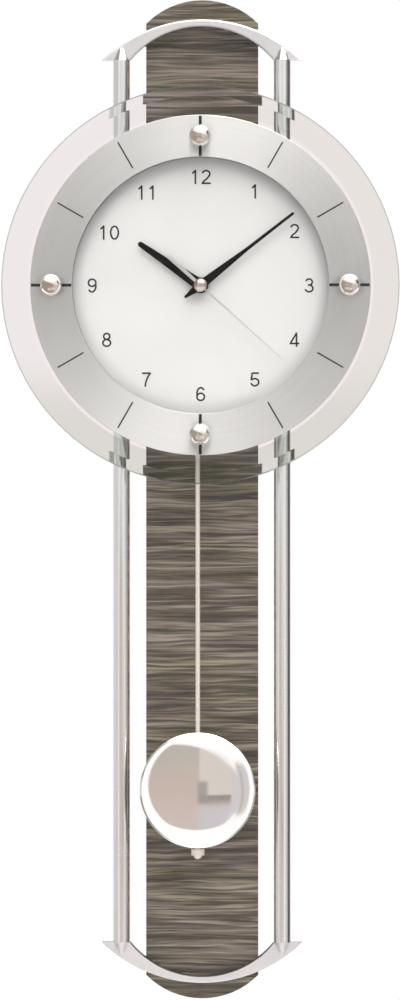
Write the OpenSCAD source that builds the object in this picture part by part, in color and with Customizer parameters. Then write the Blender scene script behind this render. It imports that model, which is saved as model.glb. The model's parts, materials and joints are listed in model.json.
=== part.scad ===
// Radio-controlled wall clock with a pendulum, on a tall wooden back panel.
// X runs to the right as seen from the front, +Y into the wall and +Z up. The origin is the
// centre of the round hole in the hanger plate, in the plane of the wall. Pieces are drawn
// face on, as (across, up, depth), with depths measured from the wall towards the viewer.

/* [Back panel] */
// Width of the wooden back panel
panel_w = 78.5; // [76:0.5:86]
// Length of the wooden back panel
panel_l = 700; // [660:5:800]
// Thickness of the panel's veneered board
panel_t = 7; // [6:0.5:9]
// Thickness of the two blocks that hold the board off the wall
block_t = 9; // [8:0.5:12]
// Width of the blocks behind the board
block_w = 62; // [58:1:70]
// Height of the upper block, which carries the hanger plate
hanger_block_h = 66; // [56:1:70]
// Height of the lower block
foot_block_h = 40; // [30:1:46]
// Radius of the panel's arched ends
panel_end_r = 55; // [48:1:80]
// Height of the panel's top above the hanging point
hanger_drop = 71.5; // [62:0.5:90]
// Distance from the panel's top to the centre of the dial
dial_drop = 201.5; // [190:0.5:230]
// Width of the service window behind the movement
window_w = 58; // [56:0.5:60]
// Height of the service window behind the movement
window_h = 90; // [84:1:100]
// Corner radius of the service window
window_r = 1; // [0.5:0.5:3]

/* [Hanger plate] */
// Width of the hanger plate
hanger_w = 44; // [40:1:60]
// Height of the hanger plate
hanger_h = 27; // [25:1:36]
// Thickness of the hanger plate
hanger_t = 1.2; // [1:0.1:2]
// Radius of the hole that passes the wall screw's head
keyhole_r = 4.5; // [4:0.1:5]
// Width of the slot that rests on the wall screw's shank
keyhole_slot_w = 4.2; // [3.5:0.1:5]
// Rise of the slot's end above the round hole's centre
keyhole_rise = 9; // [7:0.5:11]

/* [Arches and tubes] */
// Distance of the arches' middle below the panel's middle
arch_shift = 1.3; // [0:0.1:3]
// Distance from the panel's end to the arch's crest, before that shift
arch_inset = 12.8; // [8:0.1:20]
// Half the span between an arch's tips
arch_half_span = 70; // [67:0.5:76]
// Height of an arch from its flat to its crest
arch_h = 28.5; // [26:0.1:34]
// Thickness of an arch at its crest
arch_crest = 5; // [4.2:0.1:6]
// Radius of an arch's inner curve
arch_inner_r = 65; // [60:0.5:68]
// Depth of an arch from back to front
arch_t = 9; // [8:0.5:12]
// Radius of an arch's rounded front edges
arch_edge_r = 1.5; // [0.5:0.1:2.1]
// Distance of each tube's axis from the middle of the clock
tube_x = 56.3; // [55:0.1:58]
// Outer radius of a tube
tube_r = 6; // [5:0.1:6.5]
// Wall of a tube
tube_wall = 1; // [0.8:0.1:1.6]
// Distance from the panel's face to a tube's axis
tube_stand = 6.2; // [6:0.1:7]
// Length of the spigot that enters a tube
spigot_l = 12; // [8:1:20]
// Height of the pointed boss over each tube
boss_h = 16.5; // [12:0.5:20]
// Lean of the pointed boss towards the middle, in degrees
boss_lean = 0; // [0:1:20]

/* [Dial] */
// Height of the pillars between panel and dial
pillar_l = 34; // [33:0.5:40]
// Radius of a pillar
pillar_r = 5; // [4:0.5:6]
// Distance of a pillar from the middle, across
pillar_x = 26; // [22:0.5:30]
// Distance of a pillar from the dial's centre, up or down
pillar_y = 70; // [64:0.5:72]
// Radius of the recessed white dial
dial_r = 89; // [84:0.5:89]
// Sheet thickness of the dial housing
housing_t = 2; // [1.8:0.1:2.5]
// Depth of the dial housing from back to flange
housing_h = 11; // [10.5:0.5:14]
// Outer radius of the housing's flange
flange_r = 117; // [114:0.5:118]
// Height of the lip turned back from the flange's edge
lip_h = 3; // [2:0.5:5]
// Thickness of the dial plate
face_t = 0.6; // [0.4:0.1:0.8]
// Outer radius of the brushed hour ring
ring_r = 118; // [118:0.5:122]
// Thickness of the brushed hour ring
ring_t = 1; // [0.8:0.1:1.5]

/* [Glass] */
// Radius of the glass
glass_r = 138; // [130:0.5:145]
// Thickness of the glass
glass_t = 4; // [3:0.5:6]
// Width of the bevel round the glass
bevel_w = 7.3; // [4:0.1:12]
// Depth of the bevel round the glass
bevel_h = 2.2; // [1:0.1:2.6]
// Distance of the knobs from the dial's centre
knob_at = 103.5; // [100:0.5:106]
// Thickness of the spacer washers behind the glass
pad_t = 2; // [1.5:0.5:4]
// Radius of the spacer washers behind the glass
pad_r = 5.5; // [5:0.5:6.5]
// Radius of a dome knob
knob_r = 7.6; // [7:0.1:9]
// Height of a dome knob
knob_h = 7.6; // [6:0.1:8.5]
// Radius of a knob's threaded shank
knob_shank_r = 2; // [1.5:0.1:2.2]

/* [Hands] */
// Time shown at rest: hours
shown_hour = 10; // [0:1:11]
// Time shown at rest: minutes
shown_minute = 8.7; // [0:0.1:59.9]
// Time shown at rest: seconds
shown_second = 22; // [0:1:59]
// Length of the hour hand
hour_l = 52.3; // [45:0.1:60]
// Length of the minute hand
minute_l = 82; // [70:0.5:86]
// Length of the minute hand's tail
minute_tail = 13.9; // [8:0.1:20]
// Length of the second hand
second_l = 75.5; // [60:0.5:84]
// Length of the second hand's counterweight tail
second_tail = 30; // [20:0.5:36]
// Sheet thickness of the hour and minute hands
hand_t = 0.5; // [0.3:0.1:0.6]
// Radius of the bright cap over the hands
cap_r = 4.65; // [4:0.05:5]

/* [Movement] */
// Width of the movement's case
case_w = 56; // [56:0.5:57]
// Height of the case above the hand shaft
case_up = 30; // [30:0.5:34]
// Height of the case below the hand shaft
case_down = 54; // [54:0.5:60]
// Depth of the case without its cover
case_depth = 18; // [18:0.5:20]
// Wall of the case and its cover
case_wall = 1.5; // [1.2:0.1:1.8]
// Radius of the case's corners
case_corner = 4; // [3:0.5:6]
// Radius of the threaded bush that passes through the dial
bush_r = 4; // [3.8:0.1:4.5]
// Width across the flats of the centre nut
nut_af = 12; // [11:0.5:14]
// Thickness of the centre nut
nut_t = 2; // [1.5:0.1:2]
// Radius of the second hand's arbor
second_arbor_r = 0.6; // [0.5:0.05:0.7]
// Outer radius of the minute pipe
minute_pipe_r = 1.6; // [1.4:0.05:1.7]
// Outer radius of the hour pipe
hour_pipe_r = 2.5; // [2.3:0.05:2.7]
// Diameter of the battery cell
cell_d = 14.5; // [13.5:0.1:14.5]
// Length of the battery cell
cell_l = 50.5; // [49:0.1:50.5]
// Distance of the cell's axis below the hand shaft
cell_drop = 21.5; // [21.5:0.1:22]
// Travel of a push button
button_travel = 0.6; // [0.3:0.1:0.8]
// Radius of a push button's stem
button_r = 2; // [1.5:0.1:2.5]

/* [Pendulum] */
// Sideways offset of the pendulum from the hand shaft
pendulum_x = -2.5; // [-4:0.5:2]
// Distance of the pendulum's pivot below the hand shaft
pivot_drop = 37; // [36.5:0.5:40]
// Length of the lever from the pivot to its peg
lever_l = 24; // [23:0.5:28]
// Distance of the bob's centre below the hand shaft
bob_drop = 351.5; // [300:0.5:380]
// Radius of the bob
bob_r = 40.4; // [34:0.1:44]
// Rise of the bob's domed front
bob_dome_h = 7; // [5:0.5:10]
// Depth of the bob's straight rim
bob_rim = 3; // [2:0.5:5]
// Sheet thickness of the bob
bob_t = 0.8; // [0.6:0.1:1.2]
// Radius of the pendulum rod
rod_r = 1.6; // [1.4:0.05:2]
// Radius of the rod's threaded end
stud_r = 1.25; // [1:0.05:1.35]
// Radius of the rating nut
rating_r = 4.7; // [4:0.1:6]
// Height of the rating nut
rating_h = 7.4; // [6.5:0.1:10]
// Rise of the bob that the rating nut can set
adjust_up = 2.5; // [1:0.5:3]

/* [Fits] */
// Radial clearance of a shaft that turns or slides in its bore
run_fit = 0.05; // [0.02:0.01:0.08]
// Clearance of pieces that are fastened together
set_fit = 0.1; // [0.05:0.01:0.15]
// Clearance between pieces that pass each other
pass_fit = 0.4; // [0.3:0.05:0.5]

/* [Hidden] */
$fn = 64;
over = 1;

// Heights above the hanging point
panel_top = hanger_drop;
panel_mid = hanger_drop - panel_l / 2;
dial_z = panel_top - dial_drop;
arch_mid = panel_mid - arch_shift;
arch_flat = panel_top - arch_shift - arch_inset - arch_h;
tube_l = 2 * (arch_flat - arch_mid);

// Depths from the wall
panel_front = block_t + panel_t;
tube_d = panel_front + tube_stand;
housing_back = panel_front + pillar_l;
plate_front = housing_back + housing_t;
face_front = plate_front + face_t;
flange_front = housing_back + housing_h;
ring_front = flange_front + ring_t;
glass_back = ring_front + pad_t;
glass_front = glass_back + glass_t;
case_back = housing_back - case_depth;
cover_back = case_back - case_wall;
plate_inner = housing_back - case_wall;

// Arch curves
arch_outer_r = (arch_half_span * arch_half_span + arch_h * arch_h) / (2 * arch_h);
arch_outer_y = arch_h - arch_outer_r;
arch_inner_y = arch_h - arch_crest - arch_inner_r;
arch_screw_x = 30;
function arc_up(r, centre, x) = centre + sqrt(r * r - x * x);
arch_screw_y = (arc_up(arch_outer_r, arch_outer_y, arch_screw_x)
  + arc_up(arch_inner_r, arch_inner_y, arch_screw_x)) / 2;

// Screws
wood_screw_r = 1.5;
wood_head_r = 3;
small_screw_r = 1;
small_head_r = 1.9;
small_head_h = 1.2;
small_screw_in = 9;
fine_screw_r = 0.8;
fine_head_r = 1.4;
fine_head_h = 0.7;
fine_screw_in = 4;
head_sink = 0.3;
blind_end = 1;

hanger_screw_x = hanger_w / 2 - 5;
hanger_screw_y = keyhole_rise / 2;
board_screw_end = panel_front - 2;
hanger_head_r = 2.6;
hanger_sink = 0.1;
pillar_screw_in = 12;
dial_screw_in = 10;
dial_head_r = 2.8;
dial_screw_sink = 0.1;
peg_hole_r = 1.6;
peg_at = 20;
hanger_below = 4;
block_corner = 4;
foot_block_up = 50;
foot_block_z = panel_mid - panel_l / 2 + foot_block_up;
foot_screw_x = 20;

// Stack on the hand shaft, from the dial outwards
washer_t = 0.4;
washer_r = 7;
nut_back = face_front + washer_t;
nut_front = nut_back + nut_t;
bush_front = nut_front + 0.2;
hand_hub_h = 1;
hour_hub_back = bush_front + pass_fit;
minute_hub_back = hour_hub_back + hand_hub_h + pass_fit;
second_hub_back = minute_hub_back + hand_hub_h + pass_fit;
cap_back = second_hub_back + hand_hub_h;
cap_h = 2;

// Wheel train: tooth form
pressure_angle = 25;
addendum = 0.8;
dedendum = 1.05;
backlash = 6;
motion_module = 1 / 3;
train_module = 0.2;
cannon_teeth = 15;
minute_wheel_teeth = 45;
minute_pinion_teeth = 12;
hour_wheel_teeth = 48;
centre_teeth = 60;
idler_pinion_teeth = 8;
idler_teeth = 40;
rotor_teeth = 10;
stud_y = motion_module * (cannon_teeth + minute_wheel_teeth) / 2;
idler_x = train_module * (centre_teeth + idler_pinion_teeth) / 2;
rotor_x = idler_x + train_module * (idler_teeth + rotor_teeth) / 2;

// Wheel train: layers, from the case's front plate backwards
motion_t = 1.2;
wheel_t = 0.8;
shoulder_h = 1.7;
hour_wheel_front = plate_inner - shoulder_h;
hour_wheel_back = hour_wheel_front - motion_t;
cannon_front = hour_wheel_back - pass_fit;
minute_wheel_front = cannon_front - 0.6;
minute_wheel_back = minute_wheel_front - motion_t;
centre_wheel_front = minute_wheel_back - 0.8;
centre_wheel_back = centre_wheel_front - wheel_t;
second_wheel_front = centre_wheel_back - 0.6;
second_wheel_back = second_wheel_front - wheel_t;
idler_front = second_wheel_back - 0.8;
idler_back = idler_front - wheel_t;
bridge_t = 1.2;
bridge_front = idler_back - pass_fit;
bridge_back = bridge_front - bridge_t;
board_t = 1.2;
board_front = bridge_back - 1.4;
board_back = board_front - board_t;
switch_h = 1;
switch_back = board_back - switch_h;
idler_stud_r = 0.3;
rotor_pivot_r = 0.3;
wheel_stud_r = 0.75;

// Motors
magnet_r = 2.3;
stator_hole_r = 2.8;
stator_neck = 0.7;
stator_t = 1.4;
stator_front = minute_wheel_back;
stator_back = stator_front - stator_t;
stator_in = rotor_x - 3.5;
core_x = 21.5;
core_w = 3;
stator_y = 9.5;
arm_w = 3.5;
coil_half = 3.3;
coil_y = stator_y - arm_w - 0.2;

// Case fittings
boss_r = 2.6;
boss_x = case_w / 2 - 4;
boss_top = case_up - 4;
boss_bottom = 4 - case_down;
bay_gap = 0.25;
bay_wall = 1;
bay_top = -cell_drop + cell_d / 2 + bay_gap;
bay_bottom = -cell_drop - cell_d / 2 - bay_gap;
bridge_post_r = 1.6;
bridge_post_x = 17.5;
bridge_post_top = 14;
bridge_post_bottom = bay_top + 2.5;
bridge_margin = 2.5;
bridge_foot = 1.3;
stator_post_r = 1.2;
antenna_r = 3.5;
antenna_y = case_up - 6.7;
antenna_half = 20;
antenna_in = 8;
antenna_d = housing_back - antenna_in;
antenna_coil_half = 7;
antenna_coil_t = 1.4;
saddle_at = 13.5;
saddle_w = 2.5;
saddle_half_h = 4.2;
board_half_w = case_w / 2 - case_wall - 1.5;
board_bottom = bay_top + 1.5;
board_top = antenna_y - 3.3;
board_peg_x = 14;
board_peg_rows = [-8, 12];
board_peg_r = 0.8;
board_post_r = 1.5;
cell_depth = plate_inner - cell_d / 2 - set_fit;
contact_t = 0.4;
contact_h = 12;
contact_x = case_w / 2 - case_wall - contact_t;
spring_r = 4;
spring_wire_r = 0.35;
spring_step = 0.4;
nub_r = 2.75;
nub_l = 1;
cell_end = contact_x - set_fit;
button_x = 16;
set_button_y = 8;
reset_button_y = -2;
switch_half = 2.5;
button_proud = 1;
button_flange_r = button_r + 1;

// Pendulum
rod_d = case_back + 3.5;
eye_r = 3.2;
eye_t = 2;
peg_r = 1;
peg_y = -pivot_drop - lever_l;
lever_back = rod_d + eye_t / 2 + 0.2;
lever_t = 2;
lever_front = lever_back + lever_t;
lever_w = 4;
lever_slot_w = 16;
hub_r = 3;
hub_front = lever_front + 2;
pin_r = 1;
pin_head_r = 1.8;
magnet_drop = 10;
magnet_y = -pivot_drop - magnet_drop;
lever_magnet_r = 3.5;
lever_magnet_t = 2;
coil_back = lever_front + lever_magnet_t + 1.2;
coil_r = 5;
coil_post_r = 1.9;
bob_y = -bob_drop;
slider_w = 8;
slider_t = 5;
slider_end_h = 10;
spine_gap = 0.2;
slider_front = rod_d + slider_t / 2;
bob_rim_back = slider_front;
bob_dome_back = bob_rim_back + bob_rim;
bob_bottom = bob_y - bob_r;
slider_bottom = bob_bottom - 0.4;
slider_top = bob_y + bob_r - 2;
rating_top = slider_bottom - set_fit;
rod_shoulder = slider_bottom + adjust_up + 1;
rod_end = rating_top - 2.5;
rating_bore_depth = rating_top - rod_end + adjust_up + 0.5;
drum_h = 4.6;
tip_r = 3;

module face_on() { rotate([90, 0, 0]) children(); }
module at_dial() { face_on() translate([0, dial_z, 0]) children(); }
module slab(d0, d1) { translate([0, 0, d0]) linear_extrude(d1 - d0) children(); }
module rod(r, d0, d1) { translate([0, 0, d0]) cylinder(r = r, h = d1 - d0); }
module turned() { rotate_extrude() children(); }
module band(r0, r1, d0, d1) { translate([r0, d0]) square([r1 - r0, d1 - d0]); }

// Rectangle with round corners between two corner points
module rounded(x0, x1, y0, y1, r) {
  union() {
    translate([x0 + r, y0]) square([x1 - x0 - 2 * r, y1 - y0]);
    translate([x0, y0 + r]) square([x1 - x0, y1 - y0 - 2 * r]);
    for (x = [x0 + r, x1 - r], y = [y0 + r, y1 - r]) translate([x, y]) circle(r);
  }
}

// Countersunk screw with its head's face at depth d0, pointing at the viewer
module sunk_screw(r, head_r, d0, d1, grow = 0) {
  translate([0, 0, d0]) cylinder(r1 = head_r + grow, r2 = r + grow, h = head_r - r);
  rod(r + grow, d0, d1);
}

module at_corners(x, y) {
  for (sx = [-1, 1], sy = [-1, 1]) translate([sx * x, sy * y, 0]) children();
}

module at_knobs() {
  for (turn = [0:90:270]) rotate([0, 0, turn]) translate([0, knob_at, 0]) children();
}

// Places its child at the two arch screws, in the panel's own height
module at_arch_screws(end) {
  up = end > 0 ? arch_flat + arch_screw_y : 2 * arch_mid - arch_flat - arch_screw_y;
  for (sx = [-1, 1]) translate([sx * arch_screw_x, up, 0]) children();
}

// Back panel

module panel_outline() {
  mid_l = panel_l - 2 * panel_end_r;
  intersection() {
    translate([-panel_w / 2, panel_mid - panel_l / 2]) square([panel_w, panel_l]);
    union() {
      sag = panel_end_r - sqrt(panel_end_r * panel_end_r - panel_w * panel_w / 4);
      translate([-panel_w, panel_mid - panel_l / 2 + sag]) square([2 * panel_w, panel_l - 2 * sag]);
      for (end = [-1, 1]) translate([0, panel_mid + end * mid_l / 2]) circle(panel_end_r, $fn = 128);
    }
  }
}

module hanger_outline(grow) {
  low = -keyhole_r - hanger_below;
  rounded(-hanger_w / 2 - grow, hanger_w / 2 + grow, low - grow, low + hanger_h + grow, 3);
}

module keyhole(r, slot_w) {
  union() {
    circle(r);
    translate([-slot_w / 2, 0]) square([slot_w, keyhole_rise]);
    translate([0, keyhole_rise]) circle(slot_w / 2);
  }
}

module at_hanger_screws() {
  for (sx = [-1, 1]) translate([sx * hanger_screw_x, hanger_screw_y, 0]) children();
}

module at_foot_screws() {
  for (sx = [-1, 1]) translate([sx * foot_screw_x, foot_block_z, 0]) children();
}

module board_screw_hole() {
  sunk_screw(wood_screw_r, wood_head_r, block_t + head_sink - set_fit, panel_front + over, set_fit);
  rod(wood_head_r + set_fit, block_t - over, block_t + head_sink);
}

module back_panel() color("#6b6357") face_on() difference() {
  slab(block_t, panel_front) panel_outline();
  slab(block_t - over, panel_front + over) rounded(-window_w / 2, window_w / 2,
    dial_z - window_h / 2, dial_z + window_h / 2, window_r);
  at_hanger_screws() rod(wood_screw_r + set_fit, block_t - over, board_screw_end);
  at_foot_screws() rod(wood_screw_r + set_fit, block_t - over, board_screw_end);
  for (end = [-1, 1]) at_arch_screws(end) board_screw_hole();
  translate([0, dial_z, 0]) at_corners(pillar_x, pillar_y) board_screw_hole();
}

module block_outline(mid, h) {
  rounded(-block_w / 2, block_w / 2, mid - h / 2, mid + h / 2, block_corner);
}

module hanger_block() color("#a98d68") face_on() difference() {
  slab(0, block_t) block_outline(hanger_h / 2 - keyhole_r - hanger_below, hanger_block_h);
  slab(-over, hanger_t) hanger_outline(set_fit);
  slab(-over, block_t + over) keyhole(keyhole_r + 2, 2 * keyhole_r + 2);
  at_hanger_screws() rod(wood_screw_r + set_fit, 0, block_t + over);
}

module foot_block() color("#a98d68") face_on() difference() {
  slab(0, block_t) block_outline(foot_block_z, foot_block_h);
  at_foot_screws() sunk_screw(wood_screw_r, wood_head_r, head_sink - set_fit, block_t + over, set_fit);
  at_foot_screws() rod(wood_head_r + set_fit, -over, head_sink);
}

module foot_screws() color("#9a9ea3") face_on() at_foot_screws()
  sunk_screw(wood_screw_r, wood_head_r, head_sink, board_screw_end - set_fit);

module hanger_plate() color("#b9bcc0") face_on() difference() {
  slab(0, hanger_t) difference() {
    hanger_outline(0);
    keyhole(keyhole_r, keyhole_slot_w);
  }
  at_hanger_screws() sunk_screw(wood_screw_r, hanger_head_r, hanger_sink, hanger_t + over, set_fit);
  at_hanger_screws() rod(hanger_head_r + set_fit, -over, hanger_sink);
}

module hanger_screws() color("#9a9ea3") face_on() at_hanger_screws()
  sunk_screw(wood_screw_r, hanger_head_r, hanger_sink, board_screw_end - set_fit);

// Arches and tubes

module arch_disc() {
  turned() union() {
    band(0, arch_outer_r - arch_edge_r, 0, arch_t);
    band(0, arch_outer_r, 0, arch_t - arch_edge_r);
    translate([arch_outer_r - arch_edge_r, arch_t - arch_edge_r]) intersection() {
      circle(arch_edge_r);
      square(2 * arch_edge_r);
    }
  }
}

module arch_hollow() {
  turned() union() {
    band(0, arch_inner_r, -over, arch_t + over);
    difference() {
      band(arch_inner_r - over, arch_inner_r + arch_edge_r, arch_t - arch_edge_r, arch_t + over);
      translate([arch_inner_r + arch_edge_r, arch_t - arch_edge_r]) circle(arch_edge_r);
    }
  }
}

// Pointed boss that carries a tube's line on over the arch
module tube_boss(side) {
  root = 2;
  slope = tube_r / boss_h;
  translate([side * tube_x, 0, tube_stand]) rotate([0, 0, side * boss_lean]) rotate([-90, 0, 0])
    translate([0, 0, -root]) cylinder(r1 = tube_r + root * slope, r2 = 0, h = boss_h + root);
}

// Arch with its flat at height 0 and its back at depth 0
module arch_body() {
  difference() {
    union() {
      difference() {
        translate([0, arch_outer_y, 0]) arch_disc($fn = 128);
        translate([0, arch_inner_y, 0]) arch_hollow($fn = 128);
      }
      intersection() {
        for (side = [-1, 1]) tube_boss(side);
        translate([0, arch_outer_y, -over]) cylinder(r = arch_outer_r - arch_edge_r, h = 3 * arch_t);
      }
    }
    translate([-arch_outer_r - over, -2 * arch_outer_r - over, -over])
      cube([2 * (arch_outer_r + over), 2 * arch_outer_r + over, 4 * arch_t]);
    for (sx = [-1, 1]) translate([sx * arch_screw_x, arch_screw_y, 0])
      rod(wood_screw_r + set_fit, -over, arch_t - 2 * blind_end);
  }
  spigot_r = tube_r - tube_wall - set_fit;
  for (side = [-1, 1]) translate([side * tube_x, 0, tube_stand]) rotate([90, 0, 0])
    translate([0, 0, -blind_end]) cylinder(r = spigot_r, h = spigot_l + blind_end);
}

module arch_in_place() { face_on() translate([0, arch_flat, panel_front]) arch_body(); }

module upper_arch() color("#d4d4d6") arch_in_place();

module lower_arch() color("#d4d4d6")
  translate([0, 0, 2 * arch_mid]) mirror([0, 0, 1]) arch_in_place();

module arch_screws() color("#9a9ea3") face_on()
  for (end = [-1, 1]) at_arch_screws(end)
    sunk_screw(wood_screw_r, wood_head_r, block_t + head_sink, panel_front + arch_t - 2 * blind_end - set_fit);

module tube(side) {
  translate([side * tube_x, -tube_d, arch_flat - tube_l]) difference() {
    cylinder(r = tube_r, h = tube_l);
    translate([0, 0, -over]) cylinder(r = tube_r - tube_wall, h = tube_l + 2 * over);
  }
}

module left_tube() color("#dcdcdc") tube(-1);
module right_tube() color("#dcdcdc") tube(1);

// Dial

module dial_pillars() color("#c4c6c8") at_dial() at_corners(pillar_x, pillar_y) difference() {
  rod(pillar_r, panel_front, housing_back);
  rod(wood_screw_r + set_fit, panel_front - over, panel_front + pillar_screw_in + blind_end);
  rod(wood_screw_r + set_fit, housing_back - dial_screw_in - blind_end, housing_back + over);
}

module pillar_screws() color("#9a9ea3") at_dial() at_corners(pillar_x, pillar_y)
  sunk_screw(wood_screw_r, wood_head_r, block_t + head_sink, panel_front + pillar_screw_in);

// Countersunk screw with its head towards the viewer, flush with the housing's floor
module dial_screw(grow = 0) {
  top = plate_front - dial_screw_sink;
  mirror([0, 0, 1]) sunk_screw(wood_screw_r, dial_head_r, -top, dial_screw_in - housing_back, grow);
}

module dial_screws() color("#9a9ea3") at_dial() at_corners(pillar_x, pillar_y) dial_screw();

module dial_housing() color("#e4e4e2") at_dial() difference() {
  turned($fn = 128) union() {
    band(bush_r + set_fit, dial_r + housing_t, housing_back, plate_front);
    band(dial_r, dial_r + housing_t, housing_back, flange_front);
    band(dial_r, flange_r, flange_front - housing_t, flange_front);
    band(flange_r - housing_t, flange_r, flange_front - housing_t - lip_h, flange_front);
  }
  at_knobs() rod(knob_shank_r + set_fit, flange_front - housing_t - over, flange_front + over);
  at_corners(pillar_x, pillar_y) dial_screw(set_fit);
  at_corners(pillar_x, pillar_y) rod(dial_head_r + set_fit, plate_front - dial_screw_sink, plate_front + over);
  for (side = [-1, 1]) translate([side * peg_at, 0, 0]) rod(peg_hole_r, housing_back - over, plate_front + over);
}

module dial_face() color("#f4f4f0") at_dial() turned($fn = 128)
  band(bush_r + set_fit, dial_r - set_fit, plate_front, face_front);

module chapter_ring() color("#c9cacb") at_dial() difference() {
  turned($fn = 128) band(dial_r, ring_r, flange_front, ring_front);
  at_knobs() rod(knob_shank_r + set_fit, flange_front - over, ring_front + over);
}

module glass_pads() color("#efefef") at_dial() at_knobs() turned()
  band(knob_shank_r + set_fit, pad_r, ring_front, glass_back);

module glass_cover() color("#dfe9e6", 0.4) at_dial() difference() {
  turned($fn = 180) polygon([[0, glass_back], [glass_r, glass_back],
    [glass_r, glass_front - bevel_h], [glass_r - bevel_w, glass_front], [0, glass_front]]);
  at_knobs() rod(knob_shank_r + pass_fit, glass_back - over, glass_front + over);
}

knob_base = 0.8;
knob_nut_af = 7;
knob_nut_t = 2.4;
knob_nut_front = flange_front - housing_t;
hex_scale = 1 / cos(30);

module dome_knobs() color("#d8d8d8") at_dial() at_knobs() turned() union() {
  dome_rise = knob_h - knob_base;
  dome_r = (knob_r * knob_r + dome_rise * dome_rise) / (2 * dome_rise);
  band(0, knob_r, glass_front, glass_front + knob_base);
  intersection() {
    translate([0, glass_front + knob_h - dome_r]) circle(dome_r);
    band(0, knob_r, glass_front + knob_base / 2, glass_front + knob_h + over);
  }
  band(0, knob_shank_r, knob_nut_front - knob_nut_t - 0.6, glass_front + knob_base);
}

module knob_nuts() color("#b4b7ba") at_dial() at_knobs()
  slab(knob_nut_front - knob_nut_t, knob_nut_front) difference() {
    circle(knob_nut_af / 2 * hex_scale, $fn = 6);
    circle(knob_shank_r + set_fit);
  }

// Hands

hour_root_w = 8.6;
hour_mid_w = 5.8;
hour_tip_w = 3.7;
minute_root_w = 6.4;
minute_mid_w = 3.8;
minute_tip_w = 1.9;
second_root_w = 1.1;
second_tip_w = 0.6;
second_tail_w = 2.2;
second_tail_end_w = 2.8;
hour_hub_r = 5.5;
minute_hub_r = 4.4;
second_hub_r = 1.8;
hour_turn = -30 * (shown_hour + shown_minute / 60);
minute_turn = -6 * shown_minute;
second_turn = -6 * shown_second;

// Blade with a round end, tapered from w0 at the hub over w1 half way out to w2
module blade(w0, w1, w2, length) {
  tip = length - w2 / 2;
  union() {
    polygon([[-w0 / 2, 0], [w0 / 2, 0], [w1 / 2, length / 2], [w2 / 2, tip], [-w2 / 2, tip],
      [-w1 / 2, length / 2]]);
    translate([0, tip]) circle(w2 / 2);
  }
}

module hour_outline() union() {
  circle(hour_hub_r);
  blade(hour_root_w, hour_mid_w, hour_tip_w, hour_l);
}

module minute_outline() union() {
  circle(minute_hub_r);
  blade(minute_root_w, minute_mid_w, minute_tip_w, minute_l);
  tail_mid_w = (minute_root_w + minute_tip_w) / 2;
  mirror([0, 1]) blade(minute_root_w, tail_mid_w, minute_tip_w, minute_tail);
}

module hand(turn, hub_r, hub_back, pipe_r) {
  blade_back = hub_back + (hand_hub_h - hand_t) / 2;
  at_dial() rotate([0, 0, turn]) difference() {
    union() {
      slab(blade_back, blade_back + hand_t) children();
      rod(hub_r, hub_back, hub_back + hand_hub_h);
    }
    rod(pipe_r + set_fit / 2, hub_back - over, hub_back + hand_hub_h + over);
  }
}

module hour_hand() color("#1c1a18") hand(hour_turn, hour_hub_r, hour_hub_back, hour_pipe_r) hour_outline();
module minute_hand() color("#1c1a18") hand(minute_turn, minute_hub_r, minute_hub_back, minute_pipe_r)
  minute_outline();

module second_hand() color("#b8b8bc") hand(second_turn, second_hub_r, second_hub_back, second_arbor_r)
  union() {
    polygon([[-second_root_w / 2, 0], [second_root_w / 2, 0], [second_tip_w / 2, second_l],
      [-second_tip_w / 2, second_l]]);
    polygon([[-second_tail_w / 2, 0], [second_tail_w / 2, 0], [second_tail_end_w / 2, -second_tail],
      [-second_tail_end_w / 2, -second_tail]]);
  }

module hand_cap() color("#d8d8d8") at_dial() turned() difference() {
  cap_sphere = (cap_r * cap_r + cap_h * cap_h) / (2 * cap_h);
  intersection() {
    translate([0, cap_back + cap_h - cap_sphere]) circle(cap_sphere);
    band(0, cap_r, cap_back, cap_back + cap_h + over);
  }
  band(-over, second_arbor_r + set_fit / 2, cap_back - over, cap_back + cap_h / 2);
}

// Wheels

function involute(angle) = tan(angle) * 180 / PI - angle;

// Half the angle of a tooth at radius r
function half_tooth(r, teeth, base_r) =
  (90 - backlash) / teeth + involute(pressure_angle)
    - involute(r > base_r ? acos(base_r / r) : 0);

function on_circle(r, angle) = [r * cos(angle), r * sin(angle)];

// Outline of a spur wheel with a tooth at the top, turned by phase
function wheel_points(teeth, size, phase) =
  let (pitch_r = teeth * size / 2, base_r = pitch_r * cos(pressure_angle),
    root_r = pitch_r - dedendum * size, tip_r = pitch_r + addendum * size,
    start_r = max(base_r, root_r + 0.02),
    rise = [root_r, start_r, (start_r + tip_r) / 2, tip_r])
  [for (i = [0:teeth - 1]) let (mid = 90 + phase + i * 360 / teeth) each concat(
    [for (r = rise) on_circle(r, mid - half_tooth(r, teeth, base_r))],
    [for (k = [3:-1:0]) on_circle(rise[k], mid + half_tooth(rise[k], teeth, base_r))])];

module wheel(teeth, size, d0, d1, bore = 0, phase = 0) {
  slab(d0, d1) difference() {
    polygon(wheel_points(teeth, size, phase));
    if (bore > 0) circle(bore);
  }
}

cannon_bore = second_arbor_r + run_fit;
hour_bore = minute_pipe_r + run_fit;
shoulder_r = hour_pipe_r + 0.9;

module hour_wheel() color("#e8e4d8") at_dial() union() {
  wheel(hour_wheel_teeth, motion_module, hour_wheel_back, hour_wheel_front, hour_bore,
    180 / hour_wheel_teeth);
  turned() union() {
    band(hour_bore, shoulder_r, hour_wheel_front, plate_inner - 0.3);
    band(hour_bore, hour_pipe_r, hour_wheel_front, hour_hub_back + hand_hub_h);
  }
}

module minute_arbor() color("#c8a24a") at_dial() union() {
  wheel(centre_teeth, train_module, centre_wheel_back, centre_wheel_front, cannon_bore);
  wheel(cannon_teeth, motion_module, centre_wheel_front, cannon_front, cannon_bore);
  turned() band(cannon_bore, minute_pipe_r, cannon_front, minute_hub_back + hand_hub_h);
}

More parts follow.
